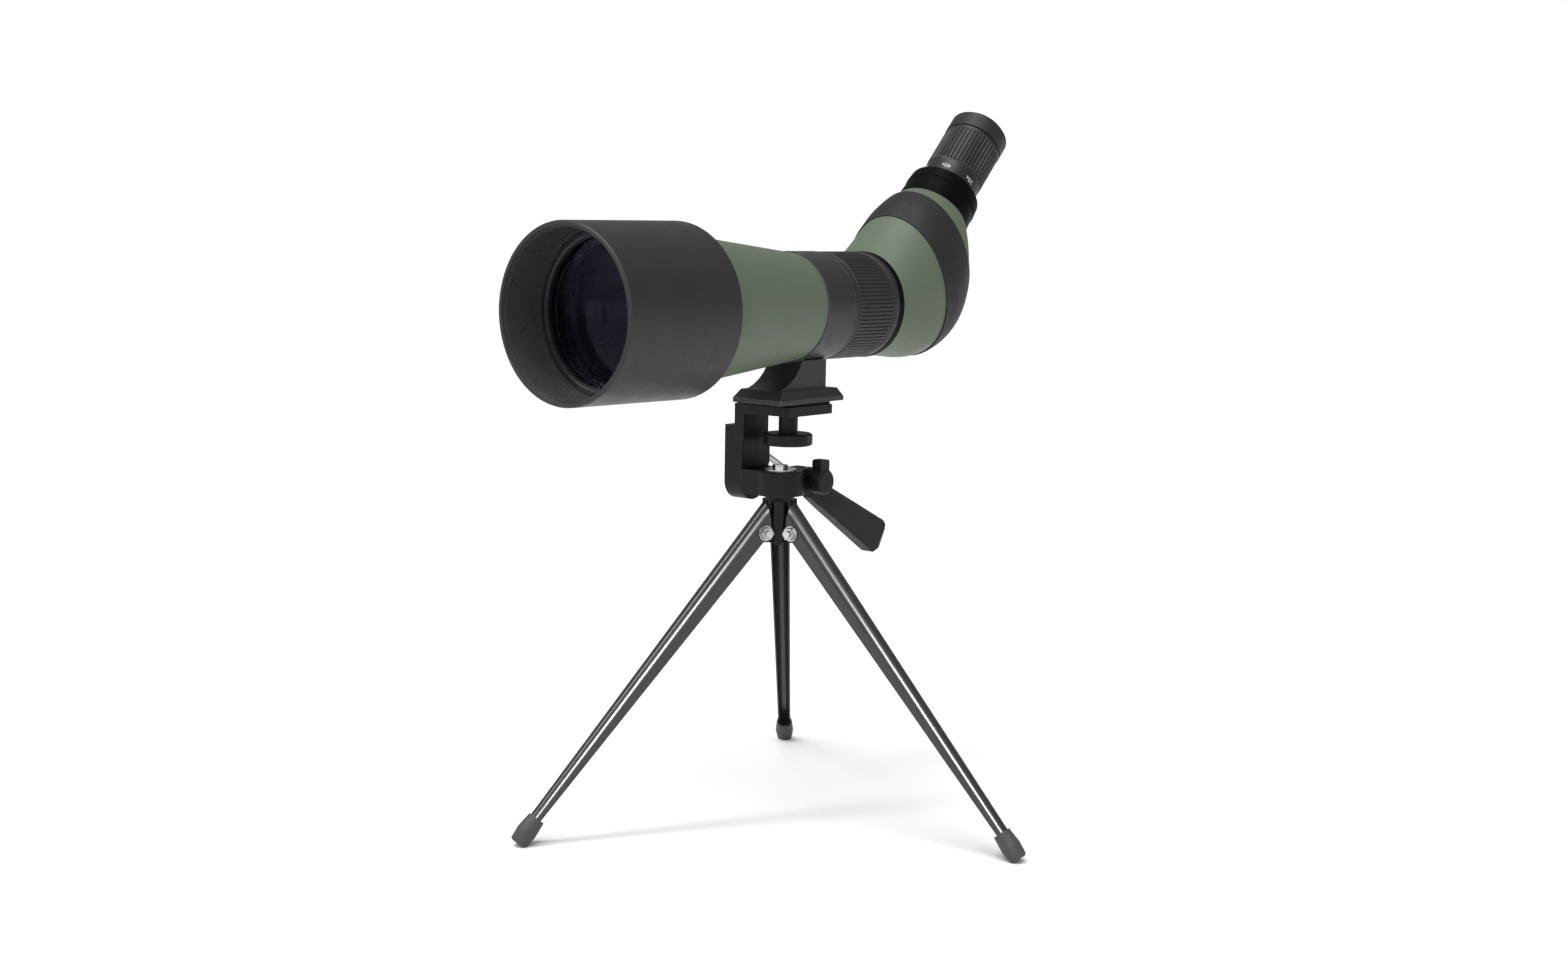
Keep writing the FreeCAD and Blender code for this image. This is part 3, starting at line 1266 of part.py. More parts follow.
def build_leg_hub():
    body = hub_body("leg_hub")
    thread = "pan_screw_radius + close_gap"
    turned(body, [
        ("0", "hub_bottom_z"), ("hub_core_radius", "hub_bottom_z"),
        ("hub_core_radius", "hub_disc_bottom_z"), ("hub_disc_radius", "hub_disc_bottom_z"),
        ("hub_disc_radius", "hub_top_z"), ("post_radius", "hub_top_z"),
        ("post_radius", "base_top_z + run_gap"), ("0", "base_top_z + run_gap")], axis="V_Axis")
    lug = padded(body, "XZ_Plane", lambda sketch: draw_outline(sketch, [
        ("0", "hub_bottom_z + lug_root_rise"), ("fold_radius", "fold_height - lug_round", "-lug_round"),
        ("fold_radius + lug_round", "fold_height", "-lug_round"),
        ("fold_radius", "fold_height + lug_round"), ("0", "fold_height + lug_round + lug_root_height")]),
        "-lug_half_width", "lug_half_width")
    rib = padded(body, "XY_Plane", lambda sketch: draw_outline(sketch, box_corners(
        "-hub_rib_reach", "0", "-hub_rib_half_width", "hub_rib_half_width")),
        "hub_bottom_z", "hub_disc_bottom_z")
    hole = turned_cut(body, [
        ("0", "-lug_half_width - overcut"), ("leg_bolt_radius + thread_gap", "-lug_half_width - overcut"),
        ("leg_bolt_radius + thread_gap", "lug_half_width + overcut"), ("0", "lug_half_width + overcut")],
        axis="V_Axis", role="XY_Plane", shift=("fold_radius", "0", "fold_height"))
    spread_round(body, [lug, rib, hole], "Z_Axis", LEG_COUNT)
    turned_cut(body, [
        ("0", "pan_screw_tip_z - thread_end_gap - drill_point"),
        (thread, "pan_screw_tip_z - thread_end_gap"),
        (thread, "base_top_z + overcut"), ("0", "base_top_z + overcut")], axis="V_Axis")


def build_leg_fasteners():
    at_fold = {"axis": "V_Axis", "role": "XY_Plane", "shift": ("fold_radius", "0", "fold_height")}
    flange = "leg_top_radius + run_gap"
    washer_top = f"{flange} + washer_thickness"
    nut_top = f"{washer_top} + nut_depth"
    bolts = hub_body("leg_bolts")
    bolts.AllowCompound = True
    bolt = turned(bolts, [
        ("0", f"-({nut_top}) - bolt_end"), ("leg_bolt_radius", f"-({nut_top}) - bolt_end"),
        ("leg_bolt_radius", f"{nut_top} + bolt_end"), ("0", f"{nut_top} + bolt_end")], **at_fold)
    spread_round(bolts, [bolt], "Z_Axis", LEG_COUNT)

    washers = hub_body("leg_washers")
    washers.AllowCompound = True
    rings = [turned(washers, [
        ("leg_bolt_radius + press_gap", low), ("washer_radius", low), ("washer_radius", high),
        ("leg_bolt_radius + press_gap", high)], **at_fold)
        for low, high in ((flange, washer_top), (f"-({washer_top})", f"-({flange})"))]
    spread_round(washers, rings, "Z_Axis", LEG_COUNT)

    nuts = hub_body("leg_nuts")
    nuts.AllowCompound = True
    blocks = []
    for low, high in ((washer_top, nut_top), (f"-({nut_top})", f"-({washer_top})")):
        blocks.append(padded(nuts, "XZ_Plane", lambda sketch: draw_hexagon(
            sketch, "fold_radius", "fold_height", "nut_radius"), low, high))
    blocks.append(turned_cut(nuts, [
        ("0", f"-({nut_top}) - overcut"), ("leg_bolt_radius + close_gap", f"-({nut_top}) - overcut"),
        ("leg_bolt_radius + close_gap", f"{nut_top} + overcut"), ("0", f"{nut_top} + overcut")],
        **at_fold))
    spread_round(nuts, blocks, "Z_Axis", LEG_COUNT)


# ---------------------------------------------------------------- legs

def leg_body(name, number):
    """A body with Z down one leg and X towards the stand's inside."""
    body = document.addObject("PartDesign::Body", name)
    body.Label = name
    around = FreeCAD.Rotation(FreeCAD.Vector(0, 0, 1), amount("leg_turn") + 360 / LEG_COUNT * number)
    lean = FreeCAD.Rotation(FreeCAD.Vector(0, 1, 0), 180 - amount("splay"))
    body.Placement = FreeCAD.Placement(
        FreeCAD.Vector(0, 0, amount("apex_height")), around.multiply(lean))
    parts.append(body)
    return body


def channel_corners(radius, flange):
    """A half-round channel, open towards the sketch's +X."""
    inner = f"({radius} - leg_wall)"
    return [
        (flange, radius), ("0", radius, f"-{radius}"), (f"-{radius}", "0", f"-{radius}"),
        ("0", f"-{radius}"), (flange, f"-{radius}"), (flange, f"-{inner}"),
        ("0", f"-{inner}", inner), (f"-{inner}", "0", inner), ("0", inner), (flange, inner)]


def build_leg(number):
    leg = leg_body(f"leg_{number + 1}", number)
    top = layer_sketch(leg, "XY_Plane", "leg_start", {})
    draw_outline(top, channel_corners("leg_top_radius", "leg_top_flange"))
    bottom = layer_sketch(leg, "XY_Plane", "leg_end", {})
    draw_outline(bottom, channel_corners("leg_bottom_radius", "leg_bottom_flange"))
    channel = leg.newObject("PartDesign::AdditiveLoft", "channel")
    channel.Profile = top
    channel.Sections = [bottom]
    channel.Ruled = True
    document.recompute()
    past_back = "-leg_top_radius - overcut"
    past_flange = "leg_top_flange + overcut"
    pocketed(leg, "XZ_Plane", lambda sketch: draw_outline(sketch, [
        (past_back, "leg_start - overcut"), (past_flange, "leg_start - overcut"),
        (past_flange, "leg_start + leg_trim"), (past_back, "leg_start")]),
        past_back, "leg_top_radius + overcut")
    fold_x = "(apex_height - fold_height) * sin(splay) - fold_radius * cos(splay)"
    fold_along = "(apex_height - fold_height) * cos(splay) + fold_radius * sin(splay)"
    turned_cut(leg, [
        ("0", past_back), ("leg_hole_radius", past_back),
        ("leg_hole_radius", "leg_top_radius + overcut"), ("0", "leg_top_radius + overcut")],
        axis="V_Axis", role="XY_Plane", shift=(fold_x, "0", fold_along))

    cap = leg_body(f"foot_cap_{number + 1}", number)
    turned(cap, [
        ("0", "cap_end"), ("cap_end_radius - cap_edge", "cap_end"),
        ("cap_end_radius", "cap_end - cap_edge"),
        ("cap_middle_radius", "cap_middle"), ("cap_top_radius", "cap_start"),
        ("cap_socket_radius", "cap_start"), ("cap_socket_radius", "cap_socket_end"),
        ("0", "cap_socket_end")], axis="V_Axis")
    floor_at = "(apex_height - ({x}) * sin(splay)) / cos(splay)"
    inside = "cap_middle_radius + overcut"
    outside = "-cap_middle_radius - overcut"
    pocketed(cap, "XZ_Plane", lambda sketch: draw_outline(sketch, [
        (inside, floor_at.format(x=inside)), (outside, floor_at.format(x=outside)),
        (outside, "cap_end + cap_cut_depth"), (inside, "cap_end + cap_cut_depth")]),
        outside, inside)


def build_all():
    build_sunshade()
    build_objective_cell()
    build_objective_lenses()
    build_main_tube()
    build_tube_baffle()
    build_mount_collar()
    build_focus_ring()
    build_focus_cam_sleeve()
    build_focus_carriage()
    build_focus_retaining_ring()
    build_prism_housing()
    build_prism_cage()
    build_prisms()
    build_eyepiece_collar()
    build_eyepiece_barrel()
    build_zoom_ring()
    build_zoom_group("front", "zoom_front_place", "-1")
    build_zoom_group("rear", "zoom_rear_place", "1")
    build_eye_lens()
    build_eyecup()
    build_head_pad()
    build_tilt_bracket()
    build_tilt_bolt()
    build_camera_screw()
    build_pan_base()
    build_pan_lock()
    build_pan_screw()
    build_handle()
    build_leg_hub()
    build_leg_fasteners()
    for number in range(LEG_COUNT):
        build_leg(number)


build_all()
document.recompute()

problems = []
for item in document.Objects:
    if "Invalid" in item.State or "Error" in item.State:
        problems.append(f"{item.Name} failed to compute: {item.State}")
for part in parts:
    if part.Shape.isNull() or not part.Shape.isValid():
        problems.append(f"{part.Label} has no sound shape")
if problems:
    raise RuntimeError("; ".join(problems))

os.makedirs("parts", exist_ok=True)
for part in parts:
    part.Shape.exportStep(f"parts/{part.Label}.step")
print(len(parts), "sub-parts written")
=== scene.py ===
import json
import math

import bmesh
import bpy
from mathutils import Matrix, Vector


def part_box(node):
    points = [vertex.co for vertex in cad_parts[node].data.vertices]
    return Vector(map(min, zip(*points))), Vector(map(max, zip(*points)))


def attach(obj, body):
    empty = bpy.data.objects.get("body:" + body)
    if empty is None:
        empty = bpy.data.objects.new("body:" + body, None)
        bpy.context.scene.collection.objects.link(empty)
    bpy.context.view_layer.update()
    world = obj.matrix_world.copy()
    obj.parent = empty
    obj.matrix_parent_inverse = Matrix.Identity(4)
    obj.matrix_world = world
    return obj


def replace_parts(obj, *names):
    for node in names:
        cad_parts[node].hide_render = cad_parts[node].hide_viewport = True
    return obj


# An angled spotting scope with a zoom eyepiece, on a small three-legged stand.
# Everything is in metres in the row frame: +X is where the scope looks, +Y its left side, +Z up.

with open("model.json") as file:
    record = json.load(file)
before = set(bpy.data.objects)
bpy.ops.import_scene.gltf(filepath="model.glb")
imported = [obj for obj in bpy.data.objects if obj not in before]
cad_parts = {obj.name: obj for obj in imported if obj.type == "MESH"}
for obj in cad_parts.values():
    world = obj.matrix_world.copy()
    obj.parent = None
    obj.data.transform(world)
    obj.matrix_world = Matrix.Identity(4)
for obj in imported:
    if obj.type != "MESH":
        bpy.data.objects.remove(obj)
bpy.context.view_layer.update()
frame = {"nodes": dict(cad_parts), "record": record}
nodes = frame["nodes"]

# Sizes repeated from the part's own source. Places on the main tube are along X, and those on the
# eyepiece are along EYE_AXIS from the ELBOW.
AXIS_Z = 0.3046
ELBOW = Vector((-0.0957, 0.0, AXIS_Z))
EYE_ANGLE = math.radians(45.1)
EYE_AXIS = Vector((-math.cos(EYE_ANGLE), 0.0, math.sin(EYE_ANGLE)))
FOCUS_FRONT, FOCUS_REAR = -0.0280, -0.0734
FOCUS_RADIUS, FOCUS_BORE = 0.0323, 0.0301
ZOOM_BASE, ZOOM_TOP, ZOOM_RADIUS = 0.1010, 0.1428, 0.0194
ZOOM_CAM_BASE, ZOOM_BORE, ZOOM_LIP_BORE = 0.1020, 0.0163, 0.0149
WHEEL_BOTTOM, WHEEL_TOP, WHEEL_RADIUS = 0.2228, 0.2300, 0.0147
WHEEL_HUB_RADIUS, WHEEL_HUB_TOP, SCREW_RADIUS = 0.0057, 0.2412, 0.0031


# ---------------------------------------------------------------- shader helpers

# Spans of a noise texture's value: nearly all of it, its peaks, and where wear comes and goes.
MOST = (0.3, 0.7)
PEAKS = (0.55, 0.75)
PATCHES = (0.35, 0.6)
# Spans of the same for dust on glass: how it dulls the colour, and how it roughens the polish.
DUST_FILM = (0.45, 0.75)
DUST_HAZE = (0.5, 0.8)

# Cosine between the true and the rounded normal where an edge starts to lighten and where it is
# lightest: partly wear, partly a painted highlight.
EDGE_WEAR_AND_HIGHLIGHT = (0.985, 0.90)
PATCH_SCALE = 260.0
SPECK_SHARE, SPECK_LIFT = 0.35, 1.35
GLOSS_SCALE = 3.0
COAT_ROUGHNESS = 0.12
DUST_SCALE, DUST_SHADE, DUST_ROUGHNESS = 90.0, 0.9, 0.012


def add_node(tree, kind, **values):
    """A new node; each value is one of its settings, or a socket's, with _ for a space in its name."""
    node = tree.nodes.new(kind)
    for name, value in values.items():
        if hasattr(node, name):
            setattr(node, name, value)
        else:
            node.inputs[name.replace("_", " ")].default_value = value
    return node


def shade(colour, factor):
    return tuple(min(1.0, c * factor) for c in colour) + (1.0,)


def noise(tree, coords, scale, detail=3.0, rough=0.5):
    node = add_node(tree, "ShaderNodeTexNoise", Scale=scale, Detail=detail, Roughness=rough)
    tree.links.new(coords, node.inputs["Vector"])
    return node.outputs["Fac"]


def map_range(tree, value, span, low, high):
    """Turns the span of a value into low to high, and holds it there outside the span."""
    node = add_node(tree, "ShaderNodeMapRange")
    for index, number in enumerate((*span, low, high), start=1):
        node.inputs[index].default_value = number
    tree.links.new(value, node.inputs[0])
    return node.outputs[0]


def mixed(tree, factor, first, second):
    """first and second are colours or colour sockets."""
    node = tree.nodes.new("ShaderNodeMix")
    node.data_type = "RGBA"
    tree.links.new(factor, node.inputs["Factor"])
    for name, value in (("A", first), ("B", second)):
        socket = next(s for s in node.inputs if s.name == name and s.type == "RGBA")
        if isinstance(value, tuple):
            socket.default_value = value
        else:
            tree.links.new(value, socket)
    return next(s for s in node.outputs if s.type == "RGBA")


def times(tree, first, second):
    node = add_node(tree, "ShaderNodeMath", operation="MULTIPLY")
    tree.links.new(first, node.inputs[0])
    tree.links.new(second, node.inputs[1])
    return node.outputs[0]


def new_shader(name):
    """A material with one Principled shader: the material, its tree, the shader and its coordinates."""
    material = bpy.data.materials.new(name)
    material.use_nodes = True
    tree = material.node_tree
    tree.nodes.clear()
    shader = add_node(tree, "ShaderNodeBsdfPrincipled")
    output = add_node(tree, "ShaderNodeOutputMaterial")
    tree.links.new(shader.outputs[0], output.inputs[0])
    coords = add_node(tree, "ShaderNodeTexCoord").outputs["Object"]
    return material, tree, shader, coords


def surface(name, colour, roughness, grain=1400.0, grain_depth=0.00004, blotch=40.0, variation=0.12,
            rough_spread=0.06, metallic=0.0, coat=0.0, specular=0.5, edge_radius=0.0004,
            edge_wear_and_highlight_colour=None, edge_wear_and_highlight_strength=0.5):
    """A moulded, painted or machined finish, with grain in its normal, slow changes of colour and
    gloss, and edges that are rounded and, with an edge colour, lightened in patches: partly wear,
    partly a painted highlight along the edges."""
    material, tree, shader, coords = new_shader(name)
    shader.inputs["Metallic"].default_value = metallic
    shader.inputs["Coat Weight"].default_value = coat
    shader.inputs["Coat Roughness"].default_value = COAT_ROUGHNESS
    shader.inputs["Specular IOR Level"].default_value = specular

    slow = noise(tree, coords, blotch, detail=4.0, rough=0.6)
    fine = noise(tree, coords, grain, detail=2.0)
    base = mixed(tree, map_range(tree, slow, MOST, 0.0, 1.0),
                 shade(colour, 1.0 - variation), shade(colour, 1.0 + variation))
    base = mixed(tree, map_range(tree, fine, PEAKS, 0.0, SPECK_SHARE), base, shade(colour, SPECK_LIFT))
    rounded = add_node(tree, "ShaderNodeBevel", samples=4, Radius=edge_radius).outputs[0]
    # The edge colour lightens the edges in patches: partly wear, partly a painted highlight.
    if edge_wear_and_highlight_colour:
        flat = add_node(tree, "ShaderNodeNewGeometry").outputs["Normal"]
        dot = add_node(tree, "ShaderNodeVectorMath", operation="DOT_PRODUCT")
        tree.links.new(rounded, dot.inputs[0])
        tree.links.new(flat, dot.inputs[1])
        edge = map_range(tree, dot.outputs["Value"], EDGE_WEAR_AND_HIGHLIGHT, 0.0, edge_wear_and_highlight_strength)
        patchy = map_range(tree, noise(tree, coords, PATCH_SCALE), PATCHES, 0.25, 1.0)
        base = mixed(tree, times(tree, edge, patchy), base, edge_wear_and_highlight_colour + (1.0,))
    tree.links.new(base, shader.inputs["Base Color"])
    gloss = noise(tree, coords, blotch * GLOSS_SCALE)
    tree.links.new(map_range(tree, gloss, MOST, roughness - rough_spread, roughness + rough_spread),
                   shader.inputs["Roughness"])

    bump = add_node(tree, "ShaderNodeBump", Strength=1.0, Distance=grain_depth)
    tree.links.new(fine, bump.inputs["Height"])
    tree.links.new(rounded, bump.inputs["Normal"])
    tree.links.new(bump.outputs[0], shader.inputs["Normal"])
    return material


def glass(name, colour, tint, ior):
    """Polished glass with a faint smear of dust; tint colours what its coating reflects."""
    material, tree, shader, coords = new_shader(name)
    shader.inputs["Transmission Weight"].default_value = 1.0
    shader.inputs["IOR"].default_value = ior
    shader.inputs["Specular Tint"].default_value = tint + (1.0,)
    dust = noise(tree, coords, DUST_SCALE, detail=5.0, rough=0.65)
    tree.links.new(mixed(tree, map_range(tree, dust, DUST_FILM, 0.0, 1.0),
                         shade(colour, 1.0), shade(colour, DUST_SHADE)), shader.inputs["Base Color"])
    tree.links.new(map_range(tree, dust, DUST_HAZE, 0.0, DUST_ROUGHNESS), shader.inputs["Roughness"])
    return material


# ---------------------------------------------------------------- materials

MATERIALS = {
    "hood_black": surface(
        "hood_black", (0.017, 0.017, 0.0175), 0.46, grain=2400.0, grain_depth=0.00002, variation=0.05,
        specular=0.32, edge_radius=0.0006, edge_wear_and_highlight_colour=(0.04, 0.04, 0.04)),
    "cell_black": surface(
        "cell_black", (0.009, 0.009, 0.010), 0.30, grain=2600.0, grain_depth=0.00001,
        specular=0.45, edge_wear_and_highlight_colour=(0.10, 0.10, 0.11)),
    "green_paint": surface(
        "green_paint", (0.088, 0.113, 0.078), 0.50, grain=2800.0, grain_depth=0.000015, blotch=18.0,
        variation=0.03, specular=0.32, edge_wear_and_highlight_colour=(0.16, 0.19, 0.14), edge_wear_and_highlight_strength=0.35),
    # Its light edge colour, at near full strength, is a painted highlight line round the collar's rims.
    "collar_black": surface(
        "collar_black", (0.017, 0.017, 0.0175), 0.42, grain=2800.0, grain_depth=0.00001,
        variation=0.05, specular=0.35, edge_wear_and_highlight_colour=(0.30, 0.30, 0.31), edge_wear_and_highlight_strength=0.9),
    "ring_rubber": surface(
        "ring_rubber", (0.012, 0.012, 0.0125), 0.50, grain=2400.0, grain_depth=0.00002,
        specular=0.35, edge_radius=0.00015, edge_wear_and_highlight_colour=(0.07, 0.07, 0.07)),
    "trim_black": surface(
        "trim_black", (0.0015, 0.0015, 0.0015), 0.50, grain=2600.0, grain_depth=0.00001,
        specular=0.05, edge_wear_and_highlight_colour=(0.02, 0.02, 0.02)),
    "armour_rubber": surface(
        "armour_rubber", (0.011, 0.0115, 0.0115), 0.58, grain=1300.0, variation=0.06, specular=0.3,
        edge_wear_and_highlight_colour=(0.10, 0.11, 0.10)),
    "inner_black": surface("inner_black", (0.004, 0.004, 0.004), 0.7, specular=0.15),
    "inner_metal": surface(
        "inner_metal", (0.03, 0.03, 0.032), 0.5, metallic=0.5, grain_depth=0.00001),
    "brass_screw": surface(
        "brass_screw", (0.55, 0.38, 0.14), 0.3, metallic=1.0, grain_depth=0.00001),
    "eye_black": surface(
        "eye_black", (0.012, 0.012, 0.0125), 0.42, grain=2600.0, grain_depth=0.00001,
        specular=0.35, edge_radius=0.0002, edge_wear_and_highlight_colour=(0.07, 0.07, 0.07)),
    "eye_rubber": surface(
        "eye_rubber", (0.013, 0.013, 0.0135), 0.52, grain=1800.0, grain_depth=0.00002,
        specular=0.32, edge_radius=0.0006, edge_wear_and_highlight_colour=(0.06, 0.06, 0.06)),
    "head_plastic": surface(
        "head_plastic", (0.0045, 0.0047, 0.0065), 0.48, grain=1600.0, grain_depth=0.000025,
        specular=0.20, edge_radius=0.0005, edge_wear_and_highlight_colour=(0.09, 0.09, 0.10)),
    "pad_rubber": surface(
        "pad_rubber", (0.004, 0.004, 0.0045), 0.8, grain=900.0, grain_depth=0.0001, specular=0.15),
    "bright_steel": surface(
        "bright_steel", (0.40, 0.40, 0.41), 0.16, metallic=1.0, grain_depth=0.000006,
        variation=0.04, rough_spread=0.03, edge_radius=0.0003),
    "zinc_steel": surface(
        "zinc_steel", (0.52, 0.52, 0.53), 0.28, metallic=1.0, grain_depth=0.00001, variation=0.06,
        edge_radius=0.0003),
    "leg_paint": surface(
        "leg_paint", (0.007, 0.0073, 0.0085), 0.32, grain=1600.0, grain_depth=0.000003, blotch=60.0,
        coat=0.4, specular=0.4, rough_spread=0.03, edge_radius=0.0002,
        edge_wear_and_highlight_colour=(0.10, 0.11, 0.12), edge_wear_and_highlight_strength=0.3),
    "foot_rubber": surface(
        "foot_rubber", (0.045, 0.045, 0.046), 0.55, grain=1200.0, grain_depth=0.00006,
        specular=0.4, edge_wear_and_highlight_colour=(0.12, 0.12, 0.12)),
    # Both glass colours are greyed well below clear glass, which darkens all that is seen through the
    # lenses: painted shade. The coating's lavender tint is its own.
    "coated_glass": glass("coated_glass", (0.60, 0.57, 0.66), (0.62, 0.50, 1.0), ior=1.2),
    "optical_glass": glass("optical_glass", (0.70, 0.74, 0.73), (0.7, 0.8, 1.0), ior=1.1),
}
# The sunshade's inside is more than twice as light as its outside: painted light, as if light fell into
# the hood, on a glossier finish.
HOOD_INSIDE_PAINTED_LIGHT = surface(
    "hood_inside_painted_light", (0.040, 0.040, 0.043), 0.30, grain=2600.0, grain_depth=0.00001, variation=0.05,
    specular=0.6, edge_wear_and_highlight_colour=(0.05, 0.05, 0.05))
LENS_EDGE = surface("lens_edge", (0.55, 0.55, 0.58), 0.35, metallic=1.0, grain_depth=0.00001)
NUMBER_PAINT = surface("number_paint", (0.62, 0.62, 0.60), 0.55, variation=0.05, specular=0.3)
FLOOR_PALE = surface(
    "floor_pale", (0.88, 0.88, 0.88), 0.9, variation=0.004, grain_depth=0.00001, specular=0.1)

for row in frame["record"]["subparts"]:
    node = nodes[row["node"]]
    node.data.materials.clear()
    node.data.materials.append(MATERIALS[row["material_slot"]])

INWARD = -0.3


def finish_inside(node_name, material):
    """Gives the faces that look towards the optical axis a second finish, as a painted bore has; the
    sunshade's is lighter than its outside, which is painted light.
    """
    mesh = nodes[node_name].data
    mesh.materials.append(material)
    for face in mesh.polygons:
        outward = Vector((0.0, face.center.y, face.center.z - AXIS_Z))
        if outward.length > 0.0 and face.normal.dot(outward.normalized()) < INWARD:
            face.material_index = 1


finish_inside("main_tube", MATERIALS["inner_black"])
finish_inside("sunshade", HOOD_INSIDE_PAINTED_LIGHT)
finish_inside("lens_spacer", LENS_EDGE)


# ---------------------------------------------------------------- mesh helpers

SHARP_EDGE = math.radians(35.0)
RIB_SHOULDER = 0.18
RIB_SAMPLES = 10
CHAMFER = 0.0004


def new_piece(name, mesh, body, slot, material=None):
    """A piece that rides on a body; material is its finish where the slot's own isn't right."""
    mesh.materials.append(material or MATERIALS[slot])
    piece = bpy.data.objects.new(name, mesh)
    bpy.context.scene.collection.objects.link(piece)
    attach(piece, body)
    return piece


def across(axis):
    """Two directions square to an axis: along Y where that is square to it, and the one left over."""
    side = Vector((0.0, 1.0, 0.0)) if abs(axis.y) < 0.5 else Vector((1.0, 0.0, 0.0))
    return side, side.cross(axis).normalized()


def lathe(name, start, axis, profile, segments, relief):
    """A closed ring. profile is (place along the axis, radius, weight), and relief(angle) is how far
    a weight of 1 moves in."""
    side, up = across(axis)
    mesh = bpy.data.meshes.new(name)
    shape = bmesh.new()
    rings = []
    for place, radius, weight in profile:
        ring = []
        for k in range(segments):
            angle = 2.0 * math.pi * k / segments
            r = radius - weight * relief(angle)
            ring.append(shape.verts.new(
                start + axis * place + (side * math.cos(angle) + up * math.sin(angle)) * r))
        rings.append(ring)
    for first, second in zip(rings, rings[1:] + rings[:1]):
        for k in range(segments):
            m = (k + 1) % segments
            shape.faces.new((first[k], first[m], second[m], second[k]))
    bmesh.ops.recalc_face_normals(shape, faces=shape.faces)
    for face in shape.faces:
        face.smooth = True
    for edge in shape.edges:
        edge.smooth = edge.calc_face_angle(0.0) < SHARP_EDGE
    shape.to_mesh(mesh)
    shape.free()
    return mesh


def ribs(count, depth, land):
    """Square-shouldered ribs: land is the share of each pitch that stands proud."""
    def relief(angle):
        phase = (angle * count / (2.0 * math.pi)) % 1.0
        distance = abs(phase - 0.5) * 2.0
        edge = (distance - land) / RIB_SHOULDER
        return depth * min(1.0, max(0.0, edge))
    return relief


def flutes(count, depth):
    """Shallow round hollows."""
    return lambda angle: depth * (0.5 - 0.5 * math.cos(count * angle))


# ---------------------------------------------------------------- focus ring

FOCUS_RIBS, FOCUS_RIB_DEPTH, FOCUS_RIB_LAND = 84, 0.00075, 0.55
FOCUS_GRIP_FRONT, FOCUS_GRIP_REAR = -0.0340, -0.0665
FOCUS_GRIP_FRONT_SLOPE, FOCUS_GRIP_REAR_SLOPE = 0.0012, 0.0010
FOCUS_TAIL_RADIUS = FOCUS_RADIUS - 0.0001


def groove(front, rear, depth, radius_behind):
    """A groove with sloping sides round the focus ring."""
    return [(front, FOCUS_RADIUS, 0), (front - CHAMFER, FOCUS_RADIUS - depth, 0),
            (rear + CHAMFER, FOCUS_RADIUS - depth, 0), (rear, radius_behind, 0)]


focus_profile = [
    (FOCUS_FRONT, FOCUS_BORE, 0), (FOCUS_FRONT, FOCUS_RADIUS - CHAMFER, 0),
    (FOCUS_FRONT - CHAMFER, FOCUS_RADIUS, 0),
    *groove(-0.0318, -0.0334, 0.0005, FOCUS_RADIUS),
    (FOCUS_GRIP_FRONT, FOCUS_RADIUS, 0), (FOCUS_GRIP_FRONT - FOCUS_GRIP_FRONT_SLOPE, FOCUS_RADIUS, 1),
    (FOCUS_GRIP_REAR + FOCUS_GRIP_REAR_SLOPE, FOCUS_RADIUS, 1), (FOCUS_GRIP_REAR, FOCUS_RADIUS, 0),
    *groove(-0.0672, -0.0688, 0.0006, FOCUS_TAIL_RADIUS),
    (FOCUS_REAR + CHAMFER, FOCUS_TAIL_RADIUS, 0), (FOCUS_REAR, FOCUS_RADIUS - CHAMFER, 0),
    (FOCUS_REAR, FOCUS_BORE, 0),
]
focus_mesh = lathe(
    "focus_ring_ribbed", Vector((0, 0, AXIS_Z)), Vector((1, 0, 0)), focus_profile,
    FOCUS_RIBS * RIB_SAMPLES, ribs(FOCUS_RIBS, FOCUS_RIB_DEPTH, FOCUS_RIB_LAND))
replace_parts(new_piece("focus_ring_ribbed", focus_mesh, "focus_ring", "ring_rubber"), "focus_ring")


# ---------------------------------------------------------------- zoom ring, its ribs and its dial

ZOOM_RIBS, ZOOM_RIB_DEPTH, ZOOM_RIB_LAND = 46, 0.0008, 0.5
ZOOM_CROWN, ZOOM_GRIP_SLOPE, ZOOM_GRIP_BASE = 0.0022, 0.0010, 0.1140
DIAL_RADIUS = ZOOM_RADIUS - 0.0003
DIAL_GROOVE_DEPTH = 0.0004
LIP_BASE = ZOOM_CAM_BASE - 0.0001
zoom_profile = [
    (ZOOM_BASE, ZOOM_LIP_BORE, 0), (LIP_BASE, ZOOM_LIP_BORE, 0),
    (LIP_BASE, ZOOM_BORE, 0), (ZOOM_TOP, ZOOM_BORE, 0),
    (ZOOM_TOP, ZOOM_RADIUS - 0.0006, 0), (ZOOM_TOP - CHAMFER, ZOOM_RADIUS, 0),
    (ZOOM_TOP - ZOOM_CROWN, ZOOM_RADIUS, 0), (ZOOM_TOP - ZOOM_CROWN - ZOOM_GRIP_SLOPE, ZOOM_RADIUS, 1),
    (ZOOM_GRIP_BASE, ZOOM_RADIUS, 1), (0.1130, ZOOM_RADIUS - 0.0001, 0.6),
    (0.1126, DIAL_RADIUS, 0), (0.1118, DIAL_RADIUS - DIAL_GROOVE_DEPTH, 0),
    (0.1112, DIAL_RADIUS - DIAL_GROOVE_DEPTH, 0), (0.1108, DIAL_RADIUS, 0),
    (ZOOM_BASE + CHAMFER, DIAL_RADIUS, 0), (ZOOM_BASE, DIAL_RADIUS - CHAMFER, 0),
]
zoom_mesh = lathe(
    "zoom_ring_ribbed", ELBOW, EYE_AXIS, zoom_profile,
    ZOOM_RIBS * RIB_SAMPLES, ribs(ZOOM_RIBS, ZOOM_RIB_DEPTH, ZOOM_RIB_LAND))
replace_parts(new_piece("zoom_ring_ribbed", zoom_mesh, "zoom_ring", "eye_black"), "zoom_ring")

